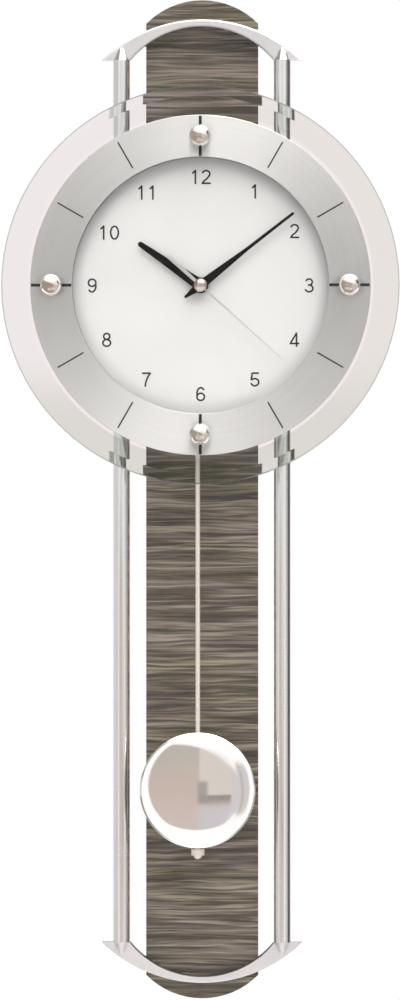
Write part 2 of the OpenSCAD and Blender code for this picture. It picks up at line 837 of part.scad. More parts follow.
module minute_wheel() color("#e8e4d8") at_dial() translate([0, stud_y, 0]) union() {
  wheel(minute_wheel_teeth, motion_module, minute_wheel_back, minute_wheel_front, wheel_stud_r + run_fit);
  wheel(minute_pinion_teeth, motion_module, minute_wheel_front, hour_wheel_front + pass_fit,
    wheel_stud_r + run_fit);
}

module wheel_stud() color("#b0b3b6") at_dial() translate([0, stud_y, 0])
  rod(wheel_stud_r, minute_wheel_back - 0.4, plate_inner + case_wall / 2);

second_hub_low_r = 1.3;

module second_arbor() color("#c9ccd0") at_dial() union() {
  wheel(centre_teeth, train_module, second_wheel_back, second_wheel_front);
  rod(second_hub_low_r, idler_front + 0.2, second_wheel_back);
  rod(second_arbor_r, bridge_back, cap_back + cap_h / 4);
}

// Teeth of an idler's pinion stand a half pitch off the line of centres, to take the wheel's tooth
module idler(side, pinion_back, pinion_front, stem_r) {
  at_dial() translate([side * idler_x, 0, 0]) union() {
    wheel(idler_teeth, train_module, idler_back, idler_front, idler_stud_r + run_fit);
    wheel(idler_pinion_teeth, train_module, pinion_back, pinion_front, idler_stud_r + run_fit,
      180 / idler_pinion_teeth);
    if (pinion_back > idler_front)
      slab(idler_front, pinion_back) difference() {
        circle(stem_r);
        circle(idler_stud_r + run_fit);
      }
  }
}

idler_stem_r = 0.5;

module second_idler() color("#e8e4d8")
  idler(-1, idler_front, second_wheel_front + pinion_proud, idler_stem_r);
module minute_idler() color("#e8e4d8")
  idler(1, centre_wheel_back - pinion_proud, centre_wheel_front + pinion_proud, idler_stem_r);

magnet_proud = 0.6;
pinion_proud = 0.2;

module rotor(side) {
  at_dial() translate([side * rotor_x, 0, 0]) union() {
    wheel(rotor_teeth, train_module, idler_back - pinion_proud, idler_front + 2 * pinion_proud);
    rod(rotor_pivot_r, bridge_back, plate_inner + case_wall / 2);
    rod(magnet_r, stator_back - magnet_proud, stator_front + magnet_proud);
  }
}

module second_rotor() color("#4a4d52") rotor(-1);
module minute_rotor() color("#4a4d52") rotor(1);

// Motors

// Right-hand stator: a closed frame with the rotor's hole on one side and the coil's core on the other
module stator() {
  stator_out = core_x + core_w / 2;
  window_in = rotor_x + stator_hole_r + stator_neck;
  difference() {
    translate([stator_in, -stator_y]) square([stator_out - stator_in, 2 * stator_y]);
    translate([window_in, arm_w - stator_y])
      square([stator_out - core_w - window_in, 2 * (stator_y - arm_w)]);
    translate([rotor_x, 0]) circle(stator_hole_r);
  }
}

module motor_stators() color("#a8adb2") at_dial() slab(stator_back, stator_front) {
  stator();
  mirror([1, 0]) stator();
}

module motor_coils() color("#b5652a") at_dial() for (side = [-1, 1]) translate([side * core_x, 0, 0])
  difference() {
    translate([0, coil_y, (stator_back + stator_front) / 2]) rotate([90, 0, 0])
      linear_extrude(2 * coil_y) rounded(-coil_half, coil_half, -coil_half, coil_half, 1.5);
    translate([-core_w / 2, -coil_y - over, stator_back]) cube([core_w, 2 * coil_y + 2 * over, stator_t]);
  }

// Bridge, board and aerial

module at_bridge_posts() {
  for (side = [-1, 1], y = [bridge_post_bottom, bridge_post_top])
    translate([side * bridge_post_x, y, 0]) children();
}

module at_board_pegs() {
  for (side = [-1, 1], y = board_peg_rows) translate([side * board_peg_x, y, 0]) children();
}

module train_bridge() color("#c9ccd0") at_dial() union() {
  difference() {
    slab(bridge_back, bridge_front) rounded(-bridge_post_x - bridge_margin, bridge_post_x + bridge_margin,
      bridge_post_bottom - bridge_foot, bridge_post_top + bridge_margin, bridge_margin);
    rod(second_arbor_r + run_fit, bridge_back - over, bridge_front + over);
    for (side = [-1, 1]) translate([side * rotor_x, 0, 0])
      rod(rotor_pivot_r + run_fit, bridge_back - over, bridge_front + over);
    at_bridge_posts() rod(fine_screw_r + set_fit, bridge_back - over, bridge_front + over);
  }
  translate([-idler_x, 0, 0])
    rod(idler_stud_r, bridge_front - pinion_proud, second_wheel_front + 2 * pinion_proud);
  translate([idler_x, 0, 0])
    rod(idler_stud_r, bridge_front - pinion_proud, centre_wheel_front + 2 * pinion_proud);
  at_board_pegs() rod(board_post_r, board_front, bridge_back);
  at_board_pegs() rod(board_peg_r, board_back - pinion_proud, board_front);
}

module bridge_screws() color("#9a9ea3") at_dial() at_bridge_posts() {
  rod(fine_head_r, bridge_back - fine_head_h, bridge_back);
  rod(fine_screw_r, bridge_back, bridge_front + fine_screw_in);
}

chip_at = [-4, 8];
chip_r = 4;
chip_h = 0.9;
crystal_at = [-16, -2.5];
crystal_half_l = 4;
crystal_half_w = 1.5;
crystal_h = 1.2;

module circuit_board() color("#2f6b45") at_dial() {
  difference() {
    slab(board_back, board_front) rounded(-board_half_w, board_half_w, board_bottom, board_top, 2);
    at_board_pegs() rod(board_peg_r + set_fit, board_back - over, board_front + over);
  }
  for (y = [set_button_y, reset_button_y]) slab(switch_back, board_back)
    rounded(button_x - switch_half, button_x + switch_half, y - switch_half, y + switch_half, 0.5);
  translate(chip_at) rod(chip_r, board_back - chip_h, board_back);
  slab(board_back - crystal_h, board_back) translate(crystal_at)
    rounded(-crystal_half_l, crystal_half_l, -crystal_half_w, crystal_half_w, 1);
}

module push_button(y) {
  flange_front_d = switch_back - button_travel - 0.2;
  at_dial() translate([button_x, y, 0]) {
    rod(button_r, cover_back - button_proud, case_back);
    rod(button_flange_r, case_back, flange_front_d);
  }
}

module set_button() color("#d9d9d9") push_button(set_button_y);
module reset_button() color("#8f1d1d") push_button(reset_button_y);

module ferrite_antenna() color("#3b3c40") at_dial() translate([-antenna_half, antenna_y, antenna_d])
  rotate([0, 90, 0]) cylinder(r = antenna_r, h = 2 * antenna_half);

module antenna_coil() color("#b5652a") at_dial() translate([-antenna_coil_half, antenna_y, antenna_d])
  rotate([0, 90, 0]) difference() {
    cylinder(r = antenna_r + antenna_coil_t, h = 2 * antenna_coil_half);
    translate([0, 0, -over]) cylinder(r = antenna_r + run_fit, h = 2 * (antenna_coil_half + over));
  }

// Battery

module battery_contacts() color("#c9ccd0") at_dial() {
  translate([0, -cell_drop, cell_depth]) for (side = [-1, 1])
    translate([side * (contact_x + contact_t / 2), 0, 0]) cube([contact_t, contact_h, contact_h], center = true);
  translate([-contact_x, -cell_drop, cell_depth]) rotate([0, 90, 0]) turned() union()
    for (turn = [0:2]) translate([spring_r - turn / 2, spring_wire_r + turn * spring_step])
      circle(spring_wire_r, $fn = 24);
}

module battery_cell() color("#3d6a8f") at_dial() translate([cell_end - cell_l, -cell_drop, cell_depth])
  rotate([0, 90, 0]) turned() union() {
    band(0, cell_d / 2, 0.3, cell_l - nub_l);
    band(0, cell_d / 2 - 1, 0, 0.3);
    band(0, nub_r, cell_l - nub_l, cell_l);
  }

// Case

module case_outline(inset) {
  rounded(inset - case_w / 2, case_w / 2 - inset, inset - case_down, case_up - inset, case_corner - inset / 2);
}

module at_case_screws() {
  for (side = [-1, 1], y = [boss_bottom, boss_top]) translate([side * boss_x, y, 0]) children();
}

module case_shell() {
  difference() {
    slab(case_back, housing_back) case_outline(0);
    slab(case_back - over, plate_inner) case_outline(case_wall);
    translate([pendulum_x - lever_slot_w / 2, -case_down - over, case_back - over])
      cube([lever_slot_w, case_wall + 2 * over, lever_front - case_back + 2 * over]);
  }
  inner_w = case_w - 2 * case_wall;
  for (y = [bay_top, bay_bottom - bay_wall]) translate([-inner_w / 2, y, case_back])
    cube([inner_w, bay_wall, plate_inner - case_back]);
  at_case_screws() rod(boss_r, case_back, plate_inner);
  at_bridge_posts() rod(bridge_post_r, bridge_front, plate_inner);
  at_corners(core_x, stator_y - stator_post_r) rod(stator_post_r, stator_front, plate_inner);
  for (x = [-saddle_at - saddle_w, saddle_at]) translate([x, antenna_y - saddle_half_h, antenna_d])
    cube([saddle_w, 2 * saddle_half_h, plate_inner - antenna_d]);
  translate([pendulum_x, -pivot_drop, 0]) rod(hub_r, hub_front + pass_fit, plate_inner);
  translate([pendulum_x, magnet_y, 0]) rod(coil_post_r, coil_back, plate_inner);
  for (side = [-1, 1]) translate([side * peg_at, 0, 0])
    rod(peg_hole_r - set_fit, plate_inner, plate_front - 0.3);
  rod(bush_r, plate_inner, bush_front);
}

module movement_case() color("#2b2c2e") at_dial() difference() {
  case_shell();
  rod(hour_pipe_r + run_fit, plate_inner - over, bush_front + over);
  at_case_screws() rod(small_screw_r + set_fit, case_back - over, case_back + small_screw_in + blind_end);
  at_bridge_posts() rod(fine_screw_r + set_fit, bridge_front - over, bridge_front + fine_screw_in + blind_end);
  translate([0, stud_y, 0]) rod(wheel_stud_r + set_fit / 2, plate_inner - over, plate_inner + case_wall / 2);
  for (side = [-1, 1]) translate([side * rotor_x, 0, 0])
    rod(rotor_pivot_r + run_fit, plate_inner - over, plate_inner + case_wall / 2 + 0.1);
  translate([-antenna_half - over, antenna_y, antenna_d]) rotate([0, 90, 0])
    cylinder(r = antenna_r + set_fit / 2, h = 2 * (antenna_half + over));
  translate([pendulum_x, -pivot_drop, 0]) rod(pin_r + set_fit / 2, hub_front, plate_inner - blind_end);
}

module movement_cover() color("#343638") at_dial() difference() {
  slab(cover_back, case_back) case_outline(0);
  slab(cover_back - over, case_back + over)
    rounded(-contact_x, contact_x, bay_bottom, bay_top, 1);
  for (y = [set_button_y, reset_button_y]) translate([button_x, y, 0])
    rod(button_r + run_fit, cover_back - over, case_back + over);
  at_case_screws() rod(small_screw_r + set_fit, cover_back - over, case_back + over);
}

module movement_screws() color("#9a9ea3") at_dial() at_case_screws() {
  rod(small_head_r, cover_back - small_head_h, cover_back);
  rod(small_screw_r, cover_back, case_back + small_screw_in);
}

module centre_washer() color("#b4b7ba") at_dial() turned()
  band(bush_r + set_fit, washer_r, face_front, nut_back);

module centre_nut() color("#c8a24a") at_dial() slab(nut_back, nut_front) difference() {
  circle(nut_af / 2 * hex_scale, $fn = 6);
  circle(bush_r + set_fit / 2);
}

// Pendulum

module lever_pin() color("#b0b3b6") at_dial() translate([pendulum_x, -pivot_drop, 0]) {
  rod(pin_head_r, lever_back - 1.2, lever_back - 0.2);
  rod(pin_r, lever_back - 0.2, plate_inner - blind_end - set_fit);
}

module pendulum_coil() color("#b5652a") at_dial() translate([pendulum_x, magnet_y, 0]) turned()
  band(coil_post_r + run_fit, coil_r, coil_back, coil_back + 3.5);

module pendulum_lever() color("#d9d9d9") at_dial() translate([pendulum_x, 0, 0]) difference() {
  union() {
    slab(lever_back, lever_front) union() {
      translate([-lever_w / 2, peg_y]) square([lever_w, lever_l]);
      translate([0, peg_y]) circle(lever_w / 2);
      translate([0, magnet_y]) circle(lever_magnet_r + 0.5);
    }
    translate([0, -pivot_drop, 0]) rod(hub_r, lever_back, hub_front);
    translate([0, peg_y, 0]) rod(peg_r, rod_d - eye_t / 2 - 0.8, lever_back);
    translate([0, peg_y, 0]) rod(peg_r + 0.8, rod_d - eye_t / 2 - 1, rod_d - eye_t / 2 - 0.2);
  }
  translate([0, -pivot_drop, 0]) rod(pin_r + run_fit, lever_back - over, hub_front + over);
}

module lever_magnet() color("#8f949a") at_dial() translate([pendulum_x, magnet_y, 0])
  rod(lever_magnet_r, lever_front, lever_front + lever_magnet_t);

module upright(r, y0, y1) { translate([0, y0, rod_d]) rotate([-90, 0, 0]) cylinder(r = r, h = y1 - y0); }

module pendulum_rod() color("#d4d4d4") at_dial() translate([pendulum_x, 0, 0]) difference() {
  union() {
    translate([0, peg_y, 0]) rod(eye_r, rod_d - eye_t / 2, rod_d + eye_t / 2);
    upright(rod_r, rod_shoulder, peg_y - eye_r + 0.6);
    upright(stud_r, rod_end, rod_shoulder);
  }
  translate([0, peg_y, 0]) rod(peg_r + set_fit, rod_d - eye_t, rod_d + eye_t);
}

module bob_dome() color("#cfc8c0") at_dial() translate([pendulum_x, bob_y, 0]) turned($fn = 128)
  difference() {
    dome_r = (bob_r * bob_r + bob_dome_h * bob_dome_h) / (2 * bob_dome_h);
    dome_mid = bob_dome_back + bob_dome_h - dome_r;
    intersection() {
      translate([0, dome_mid]) circle(dome_r, $fn = 256);
      band(0, bob_r, bob_rim_back, bob_dome_back + bob_dome_h + over);
    }
    intersection() {
      translate([0, dome_mid]) circle(dome_r - bob_t, $fn = 256);
      band(-over, bob_r - bob_t, bob_rim_back - over, bob_dome_back + bob_dome_h + over);
    }
  }

module bob_back() color("#b8b8ba") at_dial() translate([pendulum_x, bob_y, 0])
  rod(bob_r - bob_t - set_fit, bob_rim_back, bob_rim_back + bob_t);

// Guide on the back of the bob, with a bore for the rod at each end
module bob_slider() color("#55585c") at_dial() translate([pendulum_x, 0, 0]) difference() {
  union() {
    for (y = [slider_bottom, slider_top - slider_end_h])
      translate([-slider_w / 2, y, slider_front - slider_t]) cube([slider_w, slider_end_h, slider_t]);
    translate([-slider_w / 2, slider_bottom, rod_d + rod_r + spine_gap])
      cube([slider_w, slider_top - slider_bottom, slider_front - rod_d - rod_r - spine_gap]);
  }
  upright(rod_r + run_fit, slider_bottom - over, slider_top + over);
}

module rating_nut() color("#e2dcd4") at_dial() translate([pendulum_x, rating_top, rod_d])
  rotate([90, 0, 0]) difference() {
    turned() union() {
      band(0, rating_r, 0, drum_h);
      intersection() {
        translate([0, rating_h - tip_r]) circle(tip_r);
        band(0, tip_r, drum_h / 2, rating_h + over);
      }
    }
    translate([0, 0, -over]) cylinder(r = stud_r + run_fit, h = rating_bore_depth + over);
    for (flute = [0:30:330]) rotate([0, 0, flute]) translate([rating_r + 0.5, 0, -over])
      cylinder(r = 1, h = rating_h, $fn = 24);
  }

back_panel();
hanger_block();
foot_block();
foot_screws();
hanger_plate();
hanger_screws();
upper_arch();
lower_arch();
arch_screws();
left_tube();
right_tube();
dial_pillars();
pillar_screws();
dial_screws();
dial_housing();
dial_face();
chapter_ring();
glass_pads();
glass_cover();
dome_knobs();
knob_nuts();
hour_hand();
minute_hand();
second_hand();
hand_cap();
movement_case();
movement_cover();
movement_screws();
centre_washer();
centre_nut();
hour_wheel();
minute_arbor();
minute_wheel();
wheel_stud();
second_arbor();
second_idler();
second_rotor();
minute_idler();
minute_rotor();
motor_stators();
motor_coils();
train_bridge();
bridge_screws();
circuit_board();
set_button();
reset_button();
ferrite_antenna();
antenna_coil();
battery_contacts();
battery_cell();
lever_pin();
pendulum_coil();
pendulum_lever();
lever_magnet();
pendulum_rod();
bob_dome();
bob_back();
bob_slider();
rating_nut();
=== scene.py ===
import json
from math import asin, cos, pi, radians, sin, tau

import bmesh
import bpy
from mathutils import Matrix, Vector


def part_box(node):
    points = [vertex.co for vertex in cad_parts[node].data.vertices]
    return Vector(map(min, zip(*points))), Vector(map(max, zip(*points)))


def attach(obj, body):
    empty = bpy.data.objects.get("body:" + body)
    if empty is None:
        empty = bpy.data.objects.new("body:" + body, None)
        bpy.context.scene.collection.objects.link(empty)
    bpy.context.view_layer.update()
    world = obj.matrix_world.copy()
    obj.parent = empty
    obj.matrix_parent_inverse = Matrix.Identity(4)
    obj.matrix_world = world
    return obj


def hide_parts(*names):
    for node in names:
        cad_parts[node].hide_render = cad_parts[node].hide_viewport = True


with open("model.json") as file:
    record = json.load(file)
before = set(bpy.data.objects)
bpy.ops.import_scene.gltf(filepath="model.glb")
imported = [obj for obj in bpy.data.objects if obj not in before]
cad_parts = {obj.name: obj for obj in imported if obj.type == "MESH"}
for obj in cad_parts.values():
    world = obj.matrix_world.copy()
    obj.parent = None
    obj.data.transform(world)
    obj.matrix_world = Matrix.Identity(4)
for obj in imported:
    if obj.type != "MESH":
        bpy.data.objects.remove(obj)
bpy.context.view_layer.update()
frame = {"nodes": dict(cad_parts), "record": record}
nodes = frame["nodes"]
scene = bpy.context.scene
scene.view_settings.view_transform = "Standard"
mm = 0.001
dialAt = (0.0, -0.13)  # the dial's middle, across and up
print("frame loaded:", len(nodes), "solids")


def linked(name, data):
    thing = bpy.data.objects.new(name, data)
    scene.collection.objects.link(thing)
    return thing


def addObject(name, form):
    mesh = bpy.data.meshes.new(name)
    form.to_mesh(mesh)
    form.free()
    return linked(name, mesh)


def addSheet(name, size, place):
    form = bmesh.new()
    bmesh.ops.create_grid(form, x_segments=1, y_segments=1, size=size, matrix=place)
    return addObject(name, form)


# camera

shot = {
    "target": (-0.0015, -0.016, -0.2790),
    "distance": 3.984,
    "turn": 1.6,  # degrees to the right of straight on
    "lens": 204.5,
}


def placeCamera():
    data = bpy.data.cameras.new("photoCamera")
    data.lens = shot["lens"]
    data.clip_end = 50
    cam = linked("photoCamera", data)
    turn = radians(shot["turn"])
    target = Vector(shot["target"])
    cam.location = target + shot["distance"] * Vector((sin(turn), -cos(turn), 0))
    cam.rotation_euler = (target - cam.location).to_track_quat("-Z", "Y").to_euler()
    scene.camera = cam


placeCamera()

# short calls for node trees


def fill(tree, node, inputs):  # with values or links
    for key, value in inputs.items():
        if isinstance(value, bpy.types.NodeSocket):
            tree.links.new(value, node.inputs[key])
        else:
            node.inputs[key].default_value = value
    return node


def put(tree, kind, inputs=None, **settings):
    node = tree.nodes.new("ShaderNode" + kind)
    for name, value in settings.items():
        setattr(node, name, value)
    return fill(tree, node, inputs or {})


def sums(tree, operation, *values, clamp=False):
    return put(tree, "Math", dict(enumerate(values)), operation=operation, use_clamp=clamp).outputs[0]


def times(tree, first, second):
    return sums(tree, "MULTIPLY", first, second)


def plus(tree, first, second, clamp=False):
    return sums(tree, "ADD", first, second, clamp=clamp)


def minus(tree, first, second):
    return sums(tree, "SUBTRACT", first, second)


def vectors(tree, operation, *values):
    return put(tree, "VectorMath", dict(enumerate(values)), operation=operation).outputs


def unsigned(tree, value):
    return sums(tree, "ABSOLUTE", value)


def larger(tree, first, second):
    return sums(tree, "MAXIMUM", first, second)


def above(tree, value, level):  # 1 where it is
    return sums(tree, "GREATER_THAN", value, level)


def below(tree, value, level):
    return sums(tree, "LESS_THAN", value, level)


def split(tree, vector):  # its x, y and z
    return put(tree, "SeparateXYZ", {0: vector}).outputs


def facingOf(tree):  # which way the surface looks
    return split(tree, put(tree, "NewGeometry").outputs["Normal"])


def spread(tree, value, low, high, start=0.0, end=1.0, smooth=True):  # low..high becomes start..end
    kind = "SMOOTHSTEP" if smooth else "LINEAR"
    inputs = {"Value": value, "From Min": low, "From Max": high, "To Min": start, "To Max": end}
    return put(tree, "MapRange", inputs, interpolation_type=kind).outputs[0]


def varied(tree, pattern, first, second):  # from first to second over the middle of a noise
    return spread(tree, pattern, 0.3, 0.7, first, second)


def mixed(tree, amount, first, second, mode="MIX"):
    node = put(tree, "Mix", {0: amount, 6: first, 7: second}, data_type="RGBA", blend_type=mode)
    return node.outputs[2]


def grey(level):
    return (level, level, level, 1)


def noise(tree, vector, scale, detail=2.0, rough=0.5):
    inputs = {"Vector": vector, "Scale": scale, "Detail": detail, "Roughness": rough}
    return put(tree, "TexNoise", inputs).outputs["Fac"]


def stretched(tree, vector, scale, turn=(0, 0, 0), move=(0, 0, 0)):
    inputs = {"Vector": vector, "Location": move, "Rotation": turn, "Scale": scale}
    return put(tree, "Mapping", inputs).outputs[0]


def ramp(tree, value, stops):
    node = put(tree, "ValToRGB", {"Fac": value})
    marks = node.color_ramp.elements
    while len(marks) < len(stops):
        marks.new(0.5)
    for mark, (place, colour) in zip(marks, stops):
        mark.position = place
        mark.color = colour
    return node.outputs["Color"]


def objectCoords(tree):
    return put(tree, "TexCoord").outputs["Object"]


# room

room = {
    "white": (1.07, 1.06, 1.055, 1),
    # what stands round the clock, by the angle from straight up towards the right
    "around": [
        (-180, (1.35, 1.33, 1.30)), (-155, (1.0, 0.98, 0.96)), (-138, (0.40, 0.375, 0.355)),
        (-115, (0.36, 0.325, 0.30)), (-78, (0.26, 0.235, 0.215)), (-71, (0.50, 0.49, 0.48)),
        (-44, (0.44, 0.43, 0.42)), (-36, (0.52, 0.51, 0.50)), (-30, (1.75, 1.74, 1.73)),
        (-24, (2.3, 2.29, 2.28)), (-3, (3.1, 3.09, 3.08)), (3, (7.6, 7.56, 7.52)),
        (22, (6.5, 6.46, 6.42)), (34, (2.7, 2.67, 2.64)), (60, (1.42, 1.39, 1.36)),
        (82, (0.60, 0.58, 0.56)), (104, (0.42, 0.38, 0.35)), (118, (0.42, 0.38, 0.35)),
        (140, (0.38, 0.355, 0.335)), (157, (1.0, 0.98, 0.96)), (180, (1.35, 1.33, 1.30))],
    "level": (0.71, 0.70, 0.695, 1),
    "high": (0.62, 0.61, 0.61, 1),
    "door": (0.075, 0.07, 0.075, 1),
    "ahead": (0.74, 0.735, 0.73, 1),
    "behind": (0.92, 0.85, 0.845, 1),
    # what the small domes mirror: a brown floor that rises to the left, under a cream wall
    "ground": (0.37, 0.285, 0.24, 1),
    "groundRight": (0.58, 0.51, 0.47, 1),
    "cream": (0.90, 0.82, 0.75, 1),
    "skylight": (1.15, 1.10, 1.02, 1),
    # dark doorways at the right: turn from, turn to, bottom, top, softness across and up
    "doors": [(0.95, 2.62, 0.03, 0.30, 0.25, 0.012), (1.35, 2.62, -0.2, 0.03, 0.2, 0.012)],
    "domeDoor": (1.4, 2.62, 0.11, 0.58, 0.15, 0.03),
    "dimmed": 0.55,  # how much less of the room reaches matt surfaces
    "key": {"power": 6.7, "size": (1.4, 0.9), "at": (-0.5, -1.5, 1.3), "aim": (0, -0.05, -0.2)},
    "floor": {"size": (1.6, 1.35), "at": (0, -0.5, -0.75)},
}


def windowed(tree, value, low, high, soft):  # 1 between low and high
    start = spread(tree, value, low - soft, low + soft)
    return times(tree, start, spread(tree, value, high + soft, high - soft))


def boxed(tree, u, v, left, right, low, high, soft, softUp):
    return times(tree, windowed(tree, u, left, right, soft), windowed(tree, v, low, high, softUp))


def within(tree, u, v, across, up, radius, soft):  # 1 inside a circle
    spot = put(tree, "CombineXYZ", {0: u, 1: v}).outputs[0]
    away = vectors(tree, "DISTANCE", spot, (across, up, 0))["Value"]
    return spread(tree, away, radius + soft, radius - soft)


def makeRoom():
    world = bpy.data.worlds.new("studio")
    scene.world = world
    world.use_nodes = True
    tree = world.node_tree
    tree.nodes.clear()
    way = put(tree, "TexCoord").outputs["Generated"]
    x, y, z = split(tree, way)[:3]
    front = times(tree, y, -1.0)
    outside = spread(tree, front, 0.735, 0.715)
    clock = {"Value": sums(tree, "ARCTAN2", x, z), "From Min": -pi, "From Max": pi}
    clock = put(tree, "MapRange", clock).outputs[0]
    around = ramp(tree, clock, [((angle + 180) / 360, (*colour, 1)) for angle, colour in room["around"]])
    level = spread(tree, unsigned(tree, z), 0.16, 0.1)
    middle = larger(tree, spread(tree, front, 0.88, 0.93), times(tree, level, 0.8))
    colour = mixed(tree, outside, mixed(tree, middle, room["white"], room["ahead"]), around)
    # what stands beside the clock at its own height
    beside = mixed(tree, spread(tree, z, 0.02, 0.05), room["level"], room["high"])
    colour = mixed(tree, times(tree, outside, level), colour, beside)
    turn = sums(tree, "ARCTAN2", x, front)  # 0 straight out in front, rising to the right
    ray = put(tree, "LightPath").outputs
    sharp = times(tree, ray["Is Singular Ray"], ray["Is Reflection Ray"])
    for door in room["doors"]:
        colour = mixed(tree, boxed(tree, turn, z, *door), colour, room["door"])
    # the small domes are smooth enough to mirror, and see the floor and the wall sharply
    slope = sums(tree, "MULTIPLY_ADD", x, 0.3, z)
    lowest = mixed(tree, spread(tree, x, 0.3, 0.65), room["ground"], room["groundRight"])
    lit = mixed(tree, spread(tree, z, 0.35, 0.8), room["cream"], room["skylight"])
    colour = mixed(tree, sharp, colour, mixed(tree, spread(tree, slope, 0.24, 0.38), lowest, lit))
    colour = mixed(tree, boxed(tree, turn, z, *room["domeDoor"]), colour, room["door"])
    colour = mixed(tree, spread(tree, y, 0.45, 0.75), colour, room["behind"])
    # the camera itself sees plain white
    colour = mixed(tree, ray["Is Camera Ray"], colour, grey(1.0))
    strength = minus(tree, 1.0, times(tree, ray["Is Diffuse Ray"], room["dimmed"]))
    shine = put(tree, "Background", {"Color": colour, "Strength": strength})
    put(tree, "OutputWorld", {"Surface": shine.outputs[0]})

    lamp = bpy.data.lights.new("softKey", "AREA")
    lamp.energy = room["key"]["power"]
    lamp.shape = "RECTANGLE"
    lamp.size, lamp.size_y = room["key"]["size"]
    key = linked("softKey", lamp)
    key.location = room["key"]["at"]
    aim = Vector(room["key"]["aim"]) - key.location
    key.rotation_euler = aim.to_track_quat("-Z", "Y").to_euler()
    key.visible_glossy = False

    place = Matrix.Translation(room["floor"]["at"]) @ Matrix.Diagonal((*room["floor"]["size"], 1, 1))
    ground = addSheet("studioFloor", 1, place)
    ground.visible_glossy = False
    pale = bpy.data.materials.new("paleFloor")
    pale.use_nodes = True
    tree = pale.node_tree
    fill(tree, tree.nodes["Principled BSDF"], {"Base Color": grey(0.86), "Roughness": 0.7})
    ground.data.materials.append(pale)


makeRoom()

# the beige wall that the bob reflects, on a card in front that only reflections see

wall = {
    "depth": -0.345,
    "middle": (-0.011, -0.497),
    "unit": 0.270,  # metres to one bob radius
    # its outline, by circles: middle across, middle up, radius, softness
    "edges": [(-0.052, 0.092, 0.838, 0.02), (-0.052, 0.687, 1.369, 0.02), (-1.055, -0.031, 1.79, 0.03),
              (-0.478, -0.729, 1.549, 0.04)],
    "shades": [(-0.6, (0.64, 0.545, 0.50)), (0.0, (0.61, 0.50, 0.445)), (0.6, (0.53, 0.48, 0.435))],
    "lavender": (0.63, 0.595, 0.63, 1),
    "side": (0.67, 0.625, 0.655, 1),
    "opening": (0.70, 0.64, 0.585, 1),
    "step": (0.29, 0.275, 0.26, 1),
    "curtain": (0.66, 0.625, 0.605, 1),
    "fold": (0.42, 0.385, 0.40, 1),
}


def makeWall():
    across, up = wall["middle"]
    place = Matrix.Translation((across, wall["depth"], up)) @ Matrix.Rotation(pi / 2, 4, "X")
    card = addSheet("studioWall", 1.1 * wall["unit"], place)
    card.visible_camera = card.visible_diffuse = card.visible_shadow = card.visible_transmission = False
    mat = bpy.data.materials.new("beigeWall")
    mat.use_nodes = True
    card.data.materials.append(mat)
    tree = mat.node_tree
    tree.nodes.clear()
    place = split(tree, objectCoords(tree))
    u = sums(tree, "DIVIDE", minus(tree, place[0], across), wall["unit"])
    v = sums(tree, "DIVIDE", minus(tree, place[2], up), wall["unit"])
    seen = 1.0
    for edge in wall["edges"]:
        seen = times(tree, within(tree, u, v, *edge), seen)
    stops = [(0.5 + 0.5 * at, (*colour, 1)) for at, colour in wall["shades"]]
    shade = ramp(tree, sums(tree, "MULTIPLY_ADD", v, 0.5, 0.5), stops)
    lower = times(tree, spread(tree, u, -0.1, 0.12), spread(tree, v, -0.12, -0.38))
    opening = boxed(tree, u, v, 0.03, 0.57, -0.06, 0.9, 0.03, 0.03)
    post = times(tree, boxed(tree, u, v, 0.01, 0.16, -0.2, 0.15, 0.045, 0.045), 0.72)
    ledge = times(tree, spread(tree, v, -0.05, -0.085), spread(tree, v, -0.27, -0.1, 0.0, 0.85))
    ledge = times(tree, ledge, windowed(tree, u, 0.15, 0.55, 0.03))
    for part, look in (
            (lower, "lavender"), (spread(tree, u, 0.48, 0.6), "side"), (opening, "opening"),
            (post, "step"), (ledge, "step")):
        shade = mixed(tree, part, shade, wall[look])
    slope = plus(tree, times(tree, u, 0.6), times(tree, v, 0.8))
    faded = times(tree, spread(tree, slope, 0.56, 0.98), spread(tree, u, 0.05, 0.2))
    shade = mixed(tree, faded, shade, room["white"])
    # the curtain at the right, with its folds, and plain white at both sides

    def seam(across, up, outer, inner, softOuter, softInner):
        wide = within(tree, u, v, across, up, outer, softOuter)
        return minus(tree, wide, within(tree, u, v, across, up, inner, softInner))

    tall = windowed(tree, v, -0.46, 0.5, 0.09)
    curtain = times(tree, within(tree, u, v, -0.099, 0.018, 1.02, 0.03), spread(tree, u, 0.55, 0.7))
    curtain = times(tree, curtain, tall)
    hem = seam(-0.099, 0.018, 1.035, 1.005, 0.012, 0.012)
    cloth = mixed(tree, times(tree, hem, 0.5), wall["curtain"], wall["fold"])
    drawn = larger(tree, seen, curtain)
    colour = mixed(tree, drawn, room["white"], mixed(tree, seen, cloth, shade))
    fold = times(tree, seam(-0.676, -0.035, 1.475, 1.42, 0.025, 0.02), tall)
    fold = times(tree, fold, spread(tree, u, 0.3, 0.5, 0.0, 0.55))
    colour = mixed(tree, fold, colour, wall["fold"])
    sides = spread(tree, unsigned(tree, u), 0.7, 0.76)
    sides = times(tree, sides, windowed(tree, v, -0.42, 0.42, 0.06))
    both = put(tree, "MixShader", {
        0: larger(tree, drawn, sides),
        1: put(tree, "BsdfTransparent").outputs[0],
        2: put(tree, "Emission", {"Color": colour}).outputs[0]})
    put(tree, "OutputMaterial", {"Surface": both.outputs[0]})


makeWall()
print("camera and room placed")

# effects shared by the materials


def startGroup(name, numbers, **outputs):  # a vector and the numbers go in
    group = bpy.data.node_groups.new(name, "ShaderNodeTree")
    group.interface.new_socket(name="Vector", in_out="INPUT", socket_type="NodeSocketVector")
    for label, value in numbers.items():
        socket = group.interface.new_socket(name=label, in_out="INPUT", socket_type="NodeSocketFloat")
        socket.default_value = value
    for label, kind in outputs.items():
        group.interface.new_socket(name=label, in_out="OUTPUT", socket_type="NodeSocket" + kind)
    return group, group.nodes.new("NodeGroupInput").outputs, group.nodes.new("NodeGroupOutput").inputs


